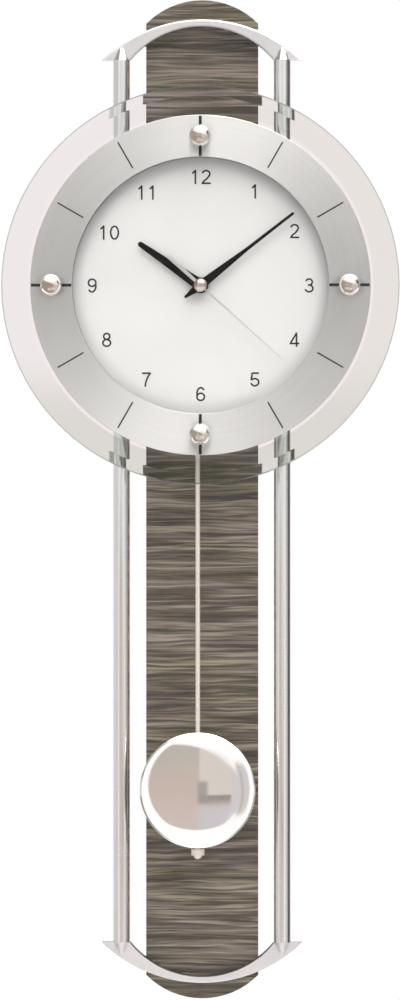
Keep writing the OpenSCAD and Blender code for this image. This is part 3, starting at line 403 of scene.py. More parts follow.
def makeScratches():  # thin hairlines that cross each other
    group, given, out = startGroup("fineScratches", {"Scale": 60.0}, Mask="Float")
    total = None
    for turn in ((0.3, 0.5, 0.2), (1.4, -0.4, 0.9)):
        line = stretched(group, given["Vector"], (1, 1, 22), turn)
        line = put(group, "VectorMath", {0: line, 3: given["Scale"]}, operation="SCALE").outputs[0]
        fine = minus(group, noise(group, line, 1.0, 3.0), 0.5)
        hair = spread(group, unsigned(group, fine), 0.012, 0.0)
        total = hair if total is None else larger(group, total, hair)
    patches = spread(group, noise(group, given["Vector"], 35.0), 0.5, 0.66)
    group.links.new(times(group, total, patches), out["Mask"])
    return group


def makeEdgeWear():  # where the form turns sharply, broken up by noise
    group, given, out = startGroup("edgeWear", {"Radius": 0.0008}, Mask="Float")
    soft = put(group, "Bevel", {"Radius": given["Radius"]}, samples=4).outputs[0]
    true = put(group, "NewGeometry").outputs["Normal"]
    same = vectors(group, "DOT_PRODUCT", soft, true)["Value"]
    edge = spread(group, same, 0.985, 0.82)
    broken = spread(group, noise(group, given["Vector"], 320.0, 4.0), 0.35, 0.65)
    group.links.new(times(group, edge, broken), out["Mask"])
    return group


def makeDust():  # settles on what faces up
    group, given, out = startGroup("settledDust", {}, Mask="Float")
    up = facingOf(group)[2]
    cover = spread(group, up, 0.25, 0.95)
    specks = spread(group, noise(group, given["Vector"], 900.0, 3.0, 0.7), 0.4, 0.75)
    clouds = varied(group, noise(group, given["Vector"], 40.0, 3.0), 0.35, 1.0)
    group.links.new(times(group, times(group, cover, specks), clouds), out["Mask"])
    return group


def makeRingBrush():  # turned lines round the Y axis through the coordinates' origin
    group, given, out = startGroup("ringBrush", {"Lines": 2600.0}, Height="Float", Shade="Float")
    parts = split(group, given["Vector"])
    radius = plus(group, times(group, parts[0], parts[0]), times(group, parts[2], parts[2]))
    radius = sums(group, "SQRT", radius)
    angle = sums(group, "ARCTAN2", parts[0], parts[2])
    lines = put(group, "CombineXYZ", {0: times(group, radius, given["Lines"]), 1: times(group, angle, 3.0)})
    fine = noise(group, lines.outputs[0], 1.0, 3.0, 0.7)
    broad = put(group, "CombineXYZ", {0: times(group, radius, 420.0), 1: angle})
    group.links.new(fine, out["Height"])
    group.links.new(noise(group, broad.outputs[0], 1.0, 2.0), out["Shade"])
    return group


def makeMouldGrain():  # the etched skin of a moulded case
    group, given, out = startGroup("mouldGrain", {"Scale": 1800.0}, Height="Float", Shade="Float")
    cells = {"Vector": given["Vector"], "Scale": given["Scale"]}
    cells = put(group, "TexVoronoi", cells).outputs["Distance"]
    group.links.new(plus(group, cells, noise(group, given["Vector"], 700.0, 4.0)), out["Height"])
    group.links.new(noise(group, given["Vector"], 60.0, 4.0), out["Shade"])
    return group


def makeVeneer():  # fine wavy streaks across the board
    group, given, out = startGroup("veneerGrain", {}, Color="Color", Shine="Float", Height="Float")
    lift = noise(group, stretched(group, given["Vector"], (16, 16, 90)), 1.0, 2.0)
    lift = times(group, minus(group, lift, 0.5), 0.0062)
    lift = put(group, "CombineXYZ", {2: lift}).outputs[0]
    wavy = vectors(group, "ADD", given["Vector"], lift)[0]

    def streak(across, up, detail, shift, rough=0.6):
        drawn = stretched(group, wavy, (across, across, up), move=(shift, 0, shift))
        return noise(group, drawn, 1.0, detail, rough)

    bands, fine, fibres = streak(9, 170, 2.0, 0.0), streak(15, 560, 2.0, 5.0, 0.7), streak(70, 2400, 2.0, 9.0)
    tone = plus(group, times(group, bands, 0.38), times(group, fine, 0.62))
    base = ramp(group, tone, [
        (0.375, (0.034, 0.027, 0.02, 1)), (0.445, (0.071, 0.057, 0.043, 1)), (0.5, (0.126, 0.104, 0.082, 1)),
        (0.555, (0.204, 0.173, 0.141, 1)), (0.62, (0.335, 0.293, 0.243, 1))])
    darkLine = spread(group, streak(9, 480, 1.0, 13.0), 0.40, 0.34)
    base = mixed(group, times(group, darkLine, 0.85), base, (0.050, 0.038, 0.029, 1))
    lightLine = spread(group, streak(13, 430, 1.0, 21.0), 0.63, 0.695)
    base = mixed(group, times(group, lightLine, 0.7), base, (0.335, 0.295, 0.245, 1))
    tint = noise(group, stretched(group, given["Vector"], (8, 8, 110)), 1.0, 2.0)
    tinted = mixed(group, spread(group, tint, 0.36, 0.64), (0.96, 0.965, 0.815, 1), (0.99, 0.945, 0.985, 1))
    base = mixed(group, 1.0, base, tinted, "MULTIPLY")
    base = mixed(group, spread(group, fibres, 0.35, 0.7, 0.0, 0.12), base, (0.36, 0.32, 0.27, 1))
    group.links.new(base, out["Color"])
    group.links.new(spread(group, tone, 0.35, 0.65, 0.55, 0.42), out["Shine"])
    group.links.new(plus(group, tone, times(group, fibres, 0.2)), out["Height"])
    return group


scratchGroup, wearGroup, dustGroup = makeScratches(), makeEdgeWear(), makeDust()
brushGroup, mouldGroup, veneerGroup = makeRingBrush(), makeMouldGrain(), makeVeneer()
print("shared effects made")

# materials


def placed(tree, group, inputs):
    return put(tree, "Group", inputs, node_tree=group).outputs


def startMaterial(name, values):
    mat = bpy.data.materials.new(name)
    mat.use_nodes = True
    tree = mat.node_tree
    shader = fill(tree, tree.nodes["Principled BSDF"], values)
    return mat, tree, shader.inputs, objectCoords(tree)


def dress(tree, shader, colour, roughness, height, strength, distance):
    bump = put(tree, "Bump", {"Height": height, "Strength": strength, "Distance": distance})
    for value, socket in ((colour, "Base Color"), (roughness, "Roughness"), (bump.outputs[0], "Normal")):
        tree.links.new(value, shader[socket])


def mottled(tree, pattern, first, second, low=0.3, high=0.7):
    return mixed(tree, spread(tree, pattern, low, high), first, second)


def worn(tree, here, base, radius, amount, colour):
    edge = placed(tree, wearGroup, {"Vector": here, "Radius": radius})["Mask"]
    return mixed(tree, times(tree, edge, amount), base, colour)


def dusty(tree, here, base, amount, colour=(0.55, 0.53, 0.5, 1)):  # the colour, and where the dust lies
    film = placed(tree, dustGroup, {"Vector": here})["Mask"]
    film = times(tree, film, amount)
    return mixed(tree, film, base, colour), film


def dialRadius(tree, here):  # how far from the dial's middle
    centred = stretched(tree, here, (1, 0, 1), move=(0, 0, -dialAt[1]))
    return vectors(tree, "LENGTH", centred)["Value"]


def metalMaterial(
        name, colour, rough, lines=0.0, lineTurn=(0, 0, 0), wear=0.0, dust=0.0, vary=0.05, metal=1.0):
    mat, tree, shader, here = startMaterial(name, {"Metallic": metal})
    cloudy = noise(tree, here, 28.0, 3.0)
    base = mottled(tree, cloudy, (*[c * (1 - vary) for c in colour], 1), (*colour, 1))
    roughness = varied(tree, cloudy, rough * 0.85, rough * 1.15)
    marks = placed(tree, scratchGroup, {"Vector": here, "Scale": 90.0})["Mask"]
    roughness = plus(tree, roughness, times(tree, marks, 0.12), clamp=True)
    height = times(tree, marks, -0.3)
    if lines:
        grain = noise(tree, stretched(tree, here, (lines, lines, 30), lineTurn), 1.0, 3.0, 0.65)
        height = plus(tree, height, grain)
        base = mixed(tree, spread(tree, grain, 0.25, 0.75, 0.12, 0.0), base, grey(0.35))
    if wear:
        base = worn(tree, here, base, 0.0007, wear, grey(0.92))
    if dust:
        base, film = dusty(tree, here, base, dust)
        roughness = plus(tree, roughness, film, clamp=True)
    dress(tree, shader, base, roughness, height, 0.25, 0.00003)
    return mat


arch = {
    "boss": (0.0490, 0.0636),  # from the middle, inner and outer edge
    "front": -0.02504,  # the bosses stand in front of this depth
    "split": -0.28,  # the upper arch is above this height, the lower one below
}


def archMaterial():  # cast and satin, with the flanks and the upper bosses polished, and painted shade on the lower arch's upward flank
    mat, tree, shader, here = startMaterial("archSatin", {})
    place = split(tree, here)
    boss = windowed(tree, unsigned(tree, place[0]), *arch["boss"], 0.0002)
    boss = times(tree, boss, below(tree, place[1], arch["front"]))
    boss = times(tree, boss, above(tree, place[2], arch["split"]))
    facing = facingOf(tree)
    flank = spread(tree, unsigned(tree, facing[1]), 0.3, 0.12)
    shiny = larger(tree, boss, flank)
    # painted shade: the lower arch is painted near black where it looks up, standing in for the dark line of
    # shade along that flank
    paintedShadeFlank = times(tree, spread(tree, facing[2], 0.25, 0.45), below(tree, place[2], arch["split"]))
    cloudy = noise(tree, here, 28.0, 3.0)
    cast = noise(tree, here, 900.0, 3.0, 0.6)
    base = mottled(tree, cloudy, (0.71, 0.69, 0.69, 1), (0.745, 0.725, 0.725, 1))
    base = mixed(tree, spread(tree, cast, 0.3, 0.6, 0.12, 0.0), base, grey(0.6))
    base = dusty(tree, here, worn(tree, here, base, 0.0007, 0.2, grey(0.95)), 0.08)[0]
    metal = times(tree, spread(tree, shiny, 0.0, 1.0, 0.5, 1.0), minus(tree, 1.0, paintedShadeFlank))
    tree.links.new(metal, shader["Metallic"])
    satin = spread(tree, shiny, 0.0, 1.0, varied(tree, cloudy, 0.36, 0.44), 0.12)
    height = times(tree, cast, minus(tree, 1.0, shiny))
    dress(tree, shader, mixed(tree, paintedShadeFlank, base, grey(0.03)), satin, height, 0.15, 0.00003)
    return mat


def plasticMaterial(name, colour, rough, grain=0.35, scale=1800.0, wear=0.15, clear=0.0):
    mat, tree, shader, here = startMaterial(name, {"Transmission Weight": clear})
    skin = placed(tree, mouldGroup, {"Vector": here, "Scale": scale})
    base = mottled(tree, skin["Shade"], (*[c * 0.82 for c in colour], 1), (*colour, 1))
    base = worn(tree, here, base, 0.0005, wear, (*[min(1.0, c * 1.5 + 0.05) for c in colour], 1))
    base = dusty(tree, here, base, 0.18, (0.5, 0.48, 0.45, 1))[0]
    satin = varied(tree, skin["Shade"], rough * 0.85, rough * 1.2)
    dress(tree, shader, base, satin, skin["Height"], grain, 0.00004)
    return mat


window = {"halfWide": 0.0296, "halfTall": 0.0456, "front": -0.0155}  # the board's opening behind the movement


def veneerMaterial():
    mat, tree, shader, here = startMaterial("veneer", {"Coat Roughness": 0.32})
    grain = placed(tree, veneerGroup, {"Vector": here})
    place = split(tree, here)
    # bare fibreboard on the back and inside the window
    back = above(tree, facingOf(tree)[1], 0.7)
    inX = below(tree, unsigned(tree, place[0]), window["halfWide"])
    inZ = below(tree, unsigned(tree, minus(tree, place[2], dialAt[1])), window["halfTall"])
    deep = above(tree, place[1], window["front"])
    bare = larger(tree, back, times(tree, times(tree, inX, inZ), deep))
    chips = noise(tree, here, 1500.0, 5.0, 0.75)
    board = ramp(tree, chips, [
        (0.3, (0.19, 0.125, 0.075, 1)), (0.52, (0.30, 0.205, 0.125, 1)), (0.75, (0.44, 0.32, 0.21, 1))])
    cloud = varied(tree, noise(tree, here, 18.0, 3.0), 0.85, 1.0)
    cloud = put(tree, "CombineColor", {0: cloud, 1: cloud, 2: cloud}).outputs[0]
    board = mixed(tree, 1.0, board, cloud, "MULTIPLY")
    tree.links.new(times(tree, minus(tree, 1.0, bare), 0.18), shader["Coat Weight"])
    shine = plus(tree, grain["Shine"], times(tree, bare, 0.4), clamp=True)
    base = mixed(tree, bare, grain["Color"], board)
    dress(tree, shader, base, shine, mixed(tree, bare, grain["Height"], chips), 0.35, 0.00008)
    return mat


def ringMaterial():  # turned aluminium, its highlight spread across the lines
    mat, tree, shader, here = startMaterial("brushedRing", {"Metallic": 1.0, "Anisotropic": 0.88})
    centred = stretched(tree, here, (1, 1, 1), move=(0, 0, -dialAt[1]))
    lines = placed(tree, brushGroup, {"Vector": centred, "Lines": 3400.0})
    base = mottled(tree, lines["Shade"], (0.685, 0.672, 0.652, 1), (0.706, 0.693, 0.673, 1))
    base = mixed(tree, spread(tree, lines["Height"], 0.25, 0.75, 0.08, 0.0), base, grey(0.45))
    # the lines run round the dial, so light spreads along the ray from its centre
    ray = vectors(tree, "NORMALIZE", vectors(tree, "MULTIPLY", centred, (1, 0, 1))[0])[0]
    tree.links.new(ray, shader["Tangent"])
    satin = varied(tree, lines["Height"], 0.42, 0.5)
    dress(tree, shader, base, satin, lines["Height"], 0.06, 0.00002)
    return mat


# the last radii are the band where the dial is painted darker, as painted shade, near the recess wall
recess = {"radius": 0.0896, "front": -0.0523, "paintedShade": (0.078, 0.0895)}  # where the dial plate lies


def dialMaterial():
    mat, tree, shader, here = startMaterial("dialWhite", {"Specular IOR Level": 0.35})
    paper = noise(tree, here, 2200.0, 4.0, 0.7)
    cloud = noise(tree, here, 22.0, 3.0)
    base = mottled(tree, cloud, (0.68, 0.672, 0.655, 1), (0.70, 0.692, 0.675, 1))
    base = mixed(tree, varied(tree, paper, 0.04, 0.0), base, grey(0.6))
    # painted shade: it is painted a little darker towards the wall of the recess
    shade = spread(tree, dialRadius(tree, here), *recess["paintedShade"], 0.0, 0.45)
    satin = varied(tree, paper, 0.5, 0.62)
    dress(tree, shader, mixed(tree, shade, base, grey(0.40)), satin, paper, 0.06, 0.00002)
    return mat


def sheetMaterial():
    mat, tree, shader, here = startMaterial("whiteSheet", {"Coat Roughness": 0.25, "Coat Weight": 0.2})
    cloud = noise(tree, here, 15.0, 3.0)
    base = mottled(tree, cloud, (0.79, 0.785, 0.77, 1), (0.84, 0.835, 0.825, 1))
    base = dusty(tree, here, worn(tree, here, base, 0.0006, 0.2, grey(0.6)), 0.25)[0]
    # painted shade: the wall of the recess is painted dark grey, standing in for its shade
    ahead = below(tree, split(tree, here)[1], recess["front"])
    side = times(tree, below(tree, dialRadius(tree, here), recess["radius"]), ahead)
    satin = varied(tree, cloud, 0.4, 0.5)
    peel = noise(tree, here, 500.0, 2.0)
    dress(tree, shader, mixed(tree, side, base, (0.20, 0.20, 0.19, 1)), satin, peel, 0.2, 0.00005)
    return mat


glass = {"rim": (0.137, 0.1373), "pastRing": (0.119, 0.121), "across": (-0.09, 0.1), "down": (-0.045, -0.095)}


def glassMaterial():
    mat, tree, shader, here = startMaterial("clearGlass", {
        "Transmission Weight": 1.0, "IOR": 1.5, "Specular IOR Level": 0.06, "Specular Tint": grey(0.25)})
    radius = dialRadius(tree, here)
    rim = spread(tree, radius, *glass["rim"])  # the ground rim round the outside
    place = split(tree, stretched(tree, here, (1, 0, 1), move=(0, 0, -dialAt[1])))
    # painted shade: outside the hour ring the glass is tinted darker and greener from left to right, and most
    # of all low down
    tint = mottled(tree, place[0], (0.945, 0.955, 0.962, 1), (0.88, 0.897, 0.87, 1), *glass["across"])
    tint = mottled(tree, place[2], tint, (0.785, 0.81, 0.775, 1), *glass["down"])
    tint = mottled(tree, radius, (0.98, 0.98, 0.985, 1), tint, *glass["pastRing"])
    tree.links.new(mixed(tree, rim, tint, (0.50, 0.575, 0.535, 1)), shader["Base Color"])
    film = placed(tree, dustGroup, {"Vector": here})["Mask"]
    tree.links.new(plus(tree, times(tree, film, 0.04), times(tree, rim, 0.4)), shader["Roughness"])
    # lamps pass through, so the pieces behind are lit
    clear = put(tree, "BsdfTransparent", {"Color": (0.96, 0.96, 0.955, 1)})
    both = put(tree, "MixShader", {
        0: put(tree, "LightPath").outputs["Is Shadow Ray"],
        1: tree.nodes["Principled BSDF"].outputs[0], 2: clear.outputs[0]})
    tree.links.new(both.outputs[0], tree.nodes["Material Output"].inputs["Surface"])
    return mat


def lacquerMaterial():
    mat, tree, shader, here = startMaterial("handBlack", {"Specular IOR Level": 0.05})
    cloud = noise(tree, here, 120.0, 3.0)
    base = mottled(tree, cloud, (0.004, 0.0037, 0.0034, 1), (0.008, 0.0074, 0.0068, 1))
    base = worn(tree, here, base, 0.0003, 0.3, grey(0.07))
    satin = varied(tree, cloud, 0.3, 0.42)
    dress(tree, shader, base, satin, noise(tree, here, 1500.0), 0.1, 0.00002)
    return mat


def printMaterial():
    mat, tree, shader, here = startMaterial("printInk", {"Specular IOR Level": 0.25})
    cover = noise(tree, here, 1800.0, 3.0)
    base = mottled(tree, cover, (0.014, 0.0135, 0.013, 1), (0.028, 0.027, 0.026, 1), high=0.75)
    dress(tree, shader, base, varied(tree, cover, 0.45, 0.6), cover, 0.05, 0.00001)
    return mat


def windingMaterial():  # enamelled wire, turn by turn
    mat, tree, shader, here = startMaterial("copperWinding", {"Metallic": 0.85, "Coat Weight": 0.4})
    wires = {"Vector": here, "Scale": 1500.0, "Distortion": 0.6, "Detail": 1.0}
    wires = put(tree, "TexWave", wires, bands_direction="Z").outputs["Fac"]
    base = mixed(tree, wires, (0.16, 0.045, 0.012, 1), (0.62, 0.24, 0.09, 1))
    dress(tree, shader, base, spread(tree, wires, 0.0, 1.0, 0.45, 0.28), wires, 0.6, 0.0001)
    return mat


def boardMaterial():
    mat, tree, shader, here = startMaterial("boardGreen", {"Coat Weight": 0.5, "Coat Roughness": 0.15})
    tracks = {"Vector": stretched(tree, here, (420, 420, 420), (pi / 2, 0, 0)), "Mortar Size": 0.03,
              "Color1": grey(0.0), "Color2": grey(0.3), "Mortar": grey(1.0)}
    tracks = put(tree, "TexBrick", tracks, offset=0.35).outputs["Color"]
    base = mixed(tree, tracks, (0.018, 0.10, 0.045, 1), (0.05, 0.22, 0.10, 1))
    speck = spread(tree, noise(tree, here, 1400.0), 0.66, 0.7)
    base = mixed(tree, times(tree, speck, 0.5), base, (0.6, 0.58, 0.5, 1))
    dress(tree, shader, base, spread(tree, speck, 0.0, 1.0, 0.38, 0.25), tracks, 0.3, 0.00004)
    return mat


def blockMaterial():  # plain planed softwood
    mat, tree, shader, here = startMaterial("blockWood", {})
    wavy = noise(tree, stretched(tree, here, (6, 30, 60)), 1.0, 3.0)
    rings = {"Vector": stretched(tree, here, (4, 60, 260)), "Scale": 1.0, "Distortion": 2.2, "Detail": 2.0}
    rings = put(tree, "TexWave", rings, bands_direction="Z").outputs["Fac"]
    fibre = noise(tree, stretched(tree, here, (50, 1500, 1500)), 1.0, 3.0)
    base = ramp(tree, rings, [
        (0.0, (0.38, 0.24, 0.12, 1)), (0.5, (0.55, 0.38, 0.21, 1)), (1.0, (0.63, 0.46, 0.28, 1))])
    base = mixed(tree, varied(tree, fibre, 0.35, 0.0), base, (0.36, 0.23, 0.12, 1))
    base = mixed(tree, varied(tree, wavy, 0.15, 0.0), base, (0.3, 0.2, 0.11, 1))
    dress(tree, shader, base, varied(tree, fibre, 0.72, 0.6), fibre, 0.3, 0.00008)
    return mat


sleeve = {"band": (0.0115, 0.0119), "middle": 0.0008, "half": 0.0237}  # along the cell


def sleeveMaterial():  # a plain two-band wrapper, with no words
    mat, tree, shader, here = startMaterial("cellSleeve", {
        "Metallic": 0.55, "Coat Weight": 0.6, "Coat Roughness": 0.1})
    along = split(tree, here)[0]
    band = spread(tree, along, *sleeve["band"], smooth=False)
    away = unsigned(tree, minus(tree, along, sleeve["middle"]))
    ends = above(tree, away, sleeve["half"])
    base = mixed(tree, band, (0.035, 0.10, 0.19, 1), (0.62, 0.44, 0.20, 1))
    base = mixed(tree, ends, base, (0.72, 0.72, 0.70, 1))
    marks = placed(tree, scratchGroup, {"Vector": here, "Scale": 120.0})["Mask"]
    base = mixed(tree, times(tree, marks, 0.3), base, grey(0.6))
    satin = varied(tree, noise(tree, here, 90.0), 0.25, 0.35)
    dress(tree, shader, base, satin, marks, -0.1, 0.00002)
    return mat


finishes = {
    "veneer": veneerMaterial(),
    "block_wood": blockMaterial(),
    "zinc": metalMaterial("zinc", (0.66, 0.67, 0.69), 0.3, lines=900.0, wear=0.3, dust=0.2, vary=0.12),
    "satin_metal": archMaterial(),
    "polished_tube": metalMaterial("polishedTube", (0.95, 0.945, 0.94), 0.21, dust=0.05, vary=0.02),
    "white_sheet": sheetMaterial(),
    "dial_white": dialMaterial(),
    "brushed_ring": ringMaterial(),
    "clear_nylon": plasticMaterial("clearNylon", (0.86, 0.86, 0.84), 0.35, grain=0.1, clear=0.6),
    "clear_glass": glassMaterial(),
    "knob_chrome": metalMaterial("knobChrome", (0.965, 0.955, 0.945), 0.04, dust=0.04, vary=0.02),
    "hand_black": lacquerMaterial(),
    "hand_silver": metalMaterial("handSilver", (0.64, 0.64, 0.62), 0.34, lines=1800.0, vary=0.08),
    "black_plastic": plasticMaterial("blackPlastic", (0.022, 0.023, 0.025), 0.46, grain=0.45),
    "brass": metalMaterial("brass", (0.78, 0.56, 0.27), 0.24, lines=1200.0, vary=0.12),
    "gear_plastic": plasticMaterial("gearPlastic", (0.80, 0.77, 0.69), 0.4, grain=0.15),
    "magnet": metalMaterial("magnet", (0.30, 0.31, 0.33), 0.3, vary=0.2),
    "stator_iron": metalMaterial(
        "statorIron", (0.42, 0.43, 0.45), 0.38, lines=1500.0, lineTurn=(0, pi / 2, 0), vary=0.2),
    "copper_winding": windingMaterial(),
    "board_green": boardMaterial(),
    "button_grey": plasticMaterial("buttonGrey", (0.62, 0.62, 0.61), 0.4, grain=0.15),
    "button_red": plasticMaterial("buttonRed", (0.38, 0.02, 0.018), 0.4, grain=0.15),
    "ferrite": plasticMaterial("ferrite", (0.035, 0.036, 0.040), 0.62, grain=0.6, scale=2600.0),
    "cell_sleeve": sleeveMaterial(),
}
ink = printMaterial()
warmChrome = metalMaterial("warmChrome", (0.985, 0.965, 0.945), 0.0, vary=0.02)
capMetal = metalMaterial("capMetal", (0.56, 0.485, 0.44), 0.14, vary=0.05)
paleSatin = metalMaterial("paleSatin", (0.86, 0.79, 0.72), 0.3, dust=0.04, vary=0.03, metal=0.45)

slotOf = {part["node"]: part["material_slot"] for part in frame["record"]["subparts"]}
for name, solid in nodes.items():
    solid.data.materials.clear()
    solid.data.materials.append(finishes[slotOf[name]])
nodes["pendulum_rod"].data.materials[0] = paleSatin
print("materials made:", len(finishes) + 4)

# making pieces


def eased(form, edges, width, segments, **settings):
    bmesh.ops.bevel(form, geom=edges, offset=width, offset_type="OFFSET", affect="EDGES", segments=segments,
                    profile=0.5, material=-1, **settings)


def humped(node):  # a node's name in one word
    first, *others = node.split("_")
    return first + "".join(word.title() for word in others)


def bodyOf(node):
    bodies = frame["record"]["behaviour"]["bodies"]
    return next(name for name, held in bodies.items() if node in held)


def keep(form, name, slotName, body, stands=(), material=None, sharp=35.0):
    piece = addObject(name, form)
    piece.data.shade_smooth()
    piece.data.set_sharp_from_angle(angle=radians(sharp))
    piece.data.materials.append(material or finishes[slotName])
    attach(piece, body)
    if stands:
        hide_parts(*stands)
    return piece


# shape may change the node's solid before its hard edges are eased
def finished(node, width, segments=2, angle=25.0, name=None, material=None, shape=None):
    source = nodes[node].data.copy()
    for layer in [a.name for a in source.attributes if a.name == "custom_normal"]:
        source.attributes.remove(source.attributes[layer])
    form = bmesh.new()
    form.from_mesh(source)
    bpy.data.meshes.remove(source)
    bmesh.ops.remove_doubles(form, verts=form.verts, dist=1e-6)
    bmesh.ops.dissolve_limit(form, angle_limit=0.002, verts=form.verts, edges=form.edges, delimit={"NORMAL"})
    if shape:
        shape(form)
    hard = [e for e in form.edges if len(e.link_faces) == 2 and e.calc_face_angle(0) > radians(angle)]
    eased(form, hard, width, segments, clamp_overlap=True)
    piece = keep(form, name or humped(node), slotOf[node], bodyOf(node), [node], material)
    weighted = piece.modifiers.new("evenNormals", "WEIGHTED_NORMAL")
    weighted.keep_sharp = True
    return piece


def turnedForm(form, outline, steps, centre):  # (radius, depth) points in mm, spun about Y through centre
    cx, cz = centre
    points = [form.verts.new((cx + r * mm, -d * mm, cz)) for r, d in outline]
    edges = [form.edges.new(pair) for pair in zip(points, points[1:])]
    bmesh.ops.spin(
        form, geom=points + edges, cent=(cx, 0, cz), axis=(0, 1, 0), angle=tau, steps=steps, use_merge=True)


def only(kind, things):
    return [thing for thing in things if isinstance(thing, kind)]


def closeUp(form, reach=1e-7):
    bmesh.ops.remove_doubles(form, verts=form.verts, dist=reach)
    bmesh.ops.recalc_face_normals(form, faces=form.faces)


def arc(centreDepth, radius, fromRadius, toRadius, count):  # points on the front of a sphere's outline
    start, end = asin(min(1.0, fromRadius / radius)), asin(min(1.0, toRadius / radius))
    angles = [start + (end - start) * k / count for k in range(count + 1)]
    return [(radius * sin(a), centreDepth + radius * cos(a)) for a in angles]


# board, blocks and hanger

board = {"edge": 0.0006, "blockEdge": 0.0005, "plateEdge": 0.00025}
finished("back_panel", board["edge"], name="veneeredBoard")
finished("hanger_block", board["blockEdge"])
finished("foot_block", board["blockEdge"])
finished("hanger_plate", board["plateEdge"], name="keyholePlate")
print("board done")

# screws with cross recesses


def archScrewHeights():  # the heads are 3 mm in radius
    low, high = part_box("arch_screws")
    return high[2] / mm - 3, low[2] / mm + 3


screwSets = {
    "foot_screws": dict(at=[(-20, -578.5), (20, -578.5)], tip=13.95, face=0.3),
    "hanger_screws": dict(at=[(-17, 4.5), (17, 4.5)], tip=13.95, face=0.1, head=2.6),
    "pillar_screws": dict(at=[(x, z) for x in (-26, 26) for z in (-60, -200)], tip=28.0),
    "arch_screws": dict(at=[(x, z) for x in (-30, 30) for z in archScrewHeights()], tip=22.95),
}


# where the heads are, depths of point and face, radii of head and shank, in mm
def crossScrew(form, at, tip, face=9.3, head=3.0, shank=1.5):
    wing, slim, deep = head * 0.62, head * 0.17, head * 0.5
    corners = [(slim, wing), (slim, slim), (wing, slim)]
    # radius and depth, down the cone, the shank and the point
    steps = ((shank, head - shank), (shank, tip - face - 1.2), (shank * 0.25, tip - face))
    for x, z in at:
        rim = [form.verts.new((head * cos(tau * k / 24), head * sin(tau * k / 24), 0)) for k in range(24)]
        cross = []
        for k in range(4):
            c, s = cos(k * pi / 2), sin(k * pi / 2)
            cross += [form.verts.new((u * s + v * c, v * s - u * c, 0)) for u, v in corners]
        loops = []
        for loop in (rim, cross):
            loops.append([form.edges.new(pair) for pair in zip(loop, loop[1:] + loop[:1])])
        bmesh.ops.bridge_loops(form, edges=loops[0] + loops[1])
        recess = bmesh.ops.extrude_edge_only(form, edges=loops[1])["geom"]
        low = only(bmesh.types.BMVert, recess)
        bmesh.ops.scale(form, vec=(0.6, 0.6, 1), verts=low)
        bmesh.ops.translate(form, vec=(0, 0, -deep), verts=low)
        bmesh.ops.contextual_create(form, geom=only(bmesh.types.BMEdge, recess))
        ring, done = loops[0], rim + cross + low
        for radius, depth in steps:
            grown = bmesh.ops.extrude_edge_only(form, edges=ring)["geom"]
            verts = only(bmesh.types.BMVert, grown)
            ring = [e for e in only(bmesh.types.BMEdge, grown) if all(v in verts for v in e.verts)]
            for v in verts:
                flat = Vector((v.co.x, v.co.y, 0)).normalized() * radius
                v.co = (flat.x, flat.y, -depth)
            done += verts
        bmesh.ops.contextual_create(form, geom=ring)
        # the face looks out of the back of the clock
        place = Matrix.Translation((x * mm, -face * mm, z * mm)) @ Matrix.Rotation(-pi / 2, 4, "X")
        bmesh.ops.transform(form, matrix=place @ Matrix.Scale(mm, 4), verts=done)


for node, sizes in screwSets.items():
    screws = bmesh.new()
    crossScrew(screws, **sizes)
    bmesh.ops.recalc_face_normals(screws, faces=screws.faces)
    keep(screws, humped(node), "zinc", "root", [node], sharp=30.0)
print("screws done")

# dial

dial = {"ringIn": 89.0, "ringOut": 118.0, "ringBack": 61.0, "ringFront": 62.0, "ringEase": 0.25}


def makeRing():
    lip, inner, outer = dial["ringEase"], dial["ringIn"], dial["ringOut"]
    back, front = dial["ringBack"], dial["ringFront"]
    ring = bmesh.new()
    outline = [(outer - lip, front), (outer, front - lip), (outer, back),
               (inner, back), (inner, front - lip), (inner + lip, front)]
    turnedForm(ring, outline + outline[:1], 192, dialAt)
    closeUp(ring)
    keep(ring, "hourRing", "brushed_ring", "root", ["chapter_ring"], sharp=40.0)


makeRing()

marks = {  # start, end and width of each line, in mm
    "thin": [(93.6, 114.4, 1.05)],
    "thick": [(89.4, 97.4, 2.1), (109.6, 117.4, 2.1)],
    "rise": 0.06, "sunk": 0.005, "corner": 0.12,
}


def makeMarks():
    form = bmesh.new()
    depth = dial["ringFront"] + marks["rise"] / 2 - marks["sunk"]
    for hour in range(12):
        for start, end, width in marks["thin" if hour % 3 else "thick"]:
            bar = bmesh.ops.create_cube(form, size=1)["verts"]
            bmesh.ops.scale(form, vec=(width * mm, marks["rise"] * mm, (end - start) * mm), verts=bar)
            lines = {e for v in bar for e in v.link_edges}
            uprights = [e for e in lines if abs(e.verts[0].co.y - e.verts[1].co.y) > 1e-6]
            bmesh.ops.translate(form, vec=(0, -depth * mm, (start + end) / 2 * mm), verts=bar)
            turn = Matrix.Translation((dialAt[0], 0, dialAt[1])) @ Matrix.Rotation(hour * tau / 12, 4, "Y")
            bmesh.ops.transform(form, matrix=turn, verts=bar)
            eased(form, uprights, marks["corner"] * mm, 2)
    keep(form, "hourMarks", "hand_black", "root", material=ink)


makeMarks()

numerals = {
    "height": 10.0, "radius": 75.4, "front": 52.6, "rise": 0.05, "sunk": 0.005,
    "line": 0.122, "advance": 0.776,  # of the height
    "inwards": {10: 1.8, 11: 0.8},
}


def bend(cx, cy, rx, ry, start, end):  # part of an ellipse, in degrees
    steps = max(3, int(abs(end - start) / 9))
    angles = [radians(start + (end - start) * k / steps) for k in range(steps + 1)]
    return [(cx + rx * cos(a), cy + ry * sin(a)) for a in angles]


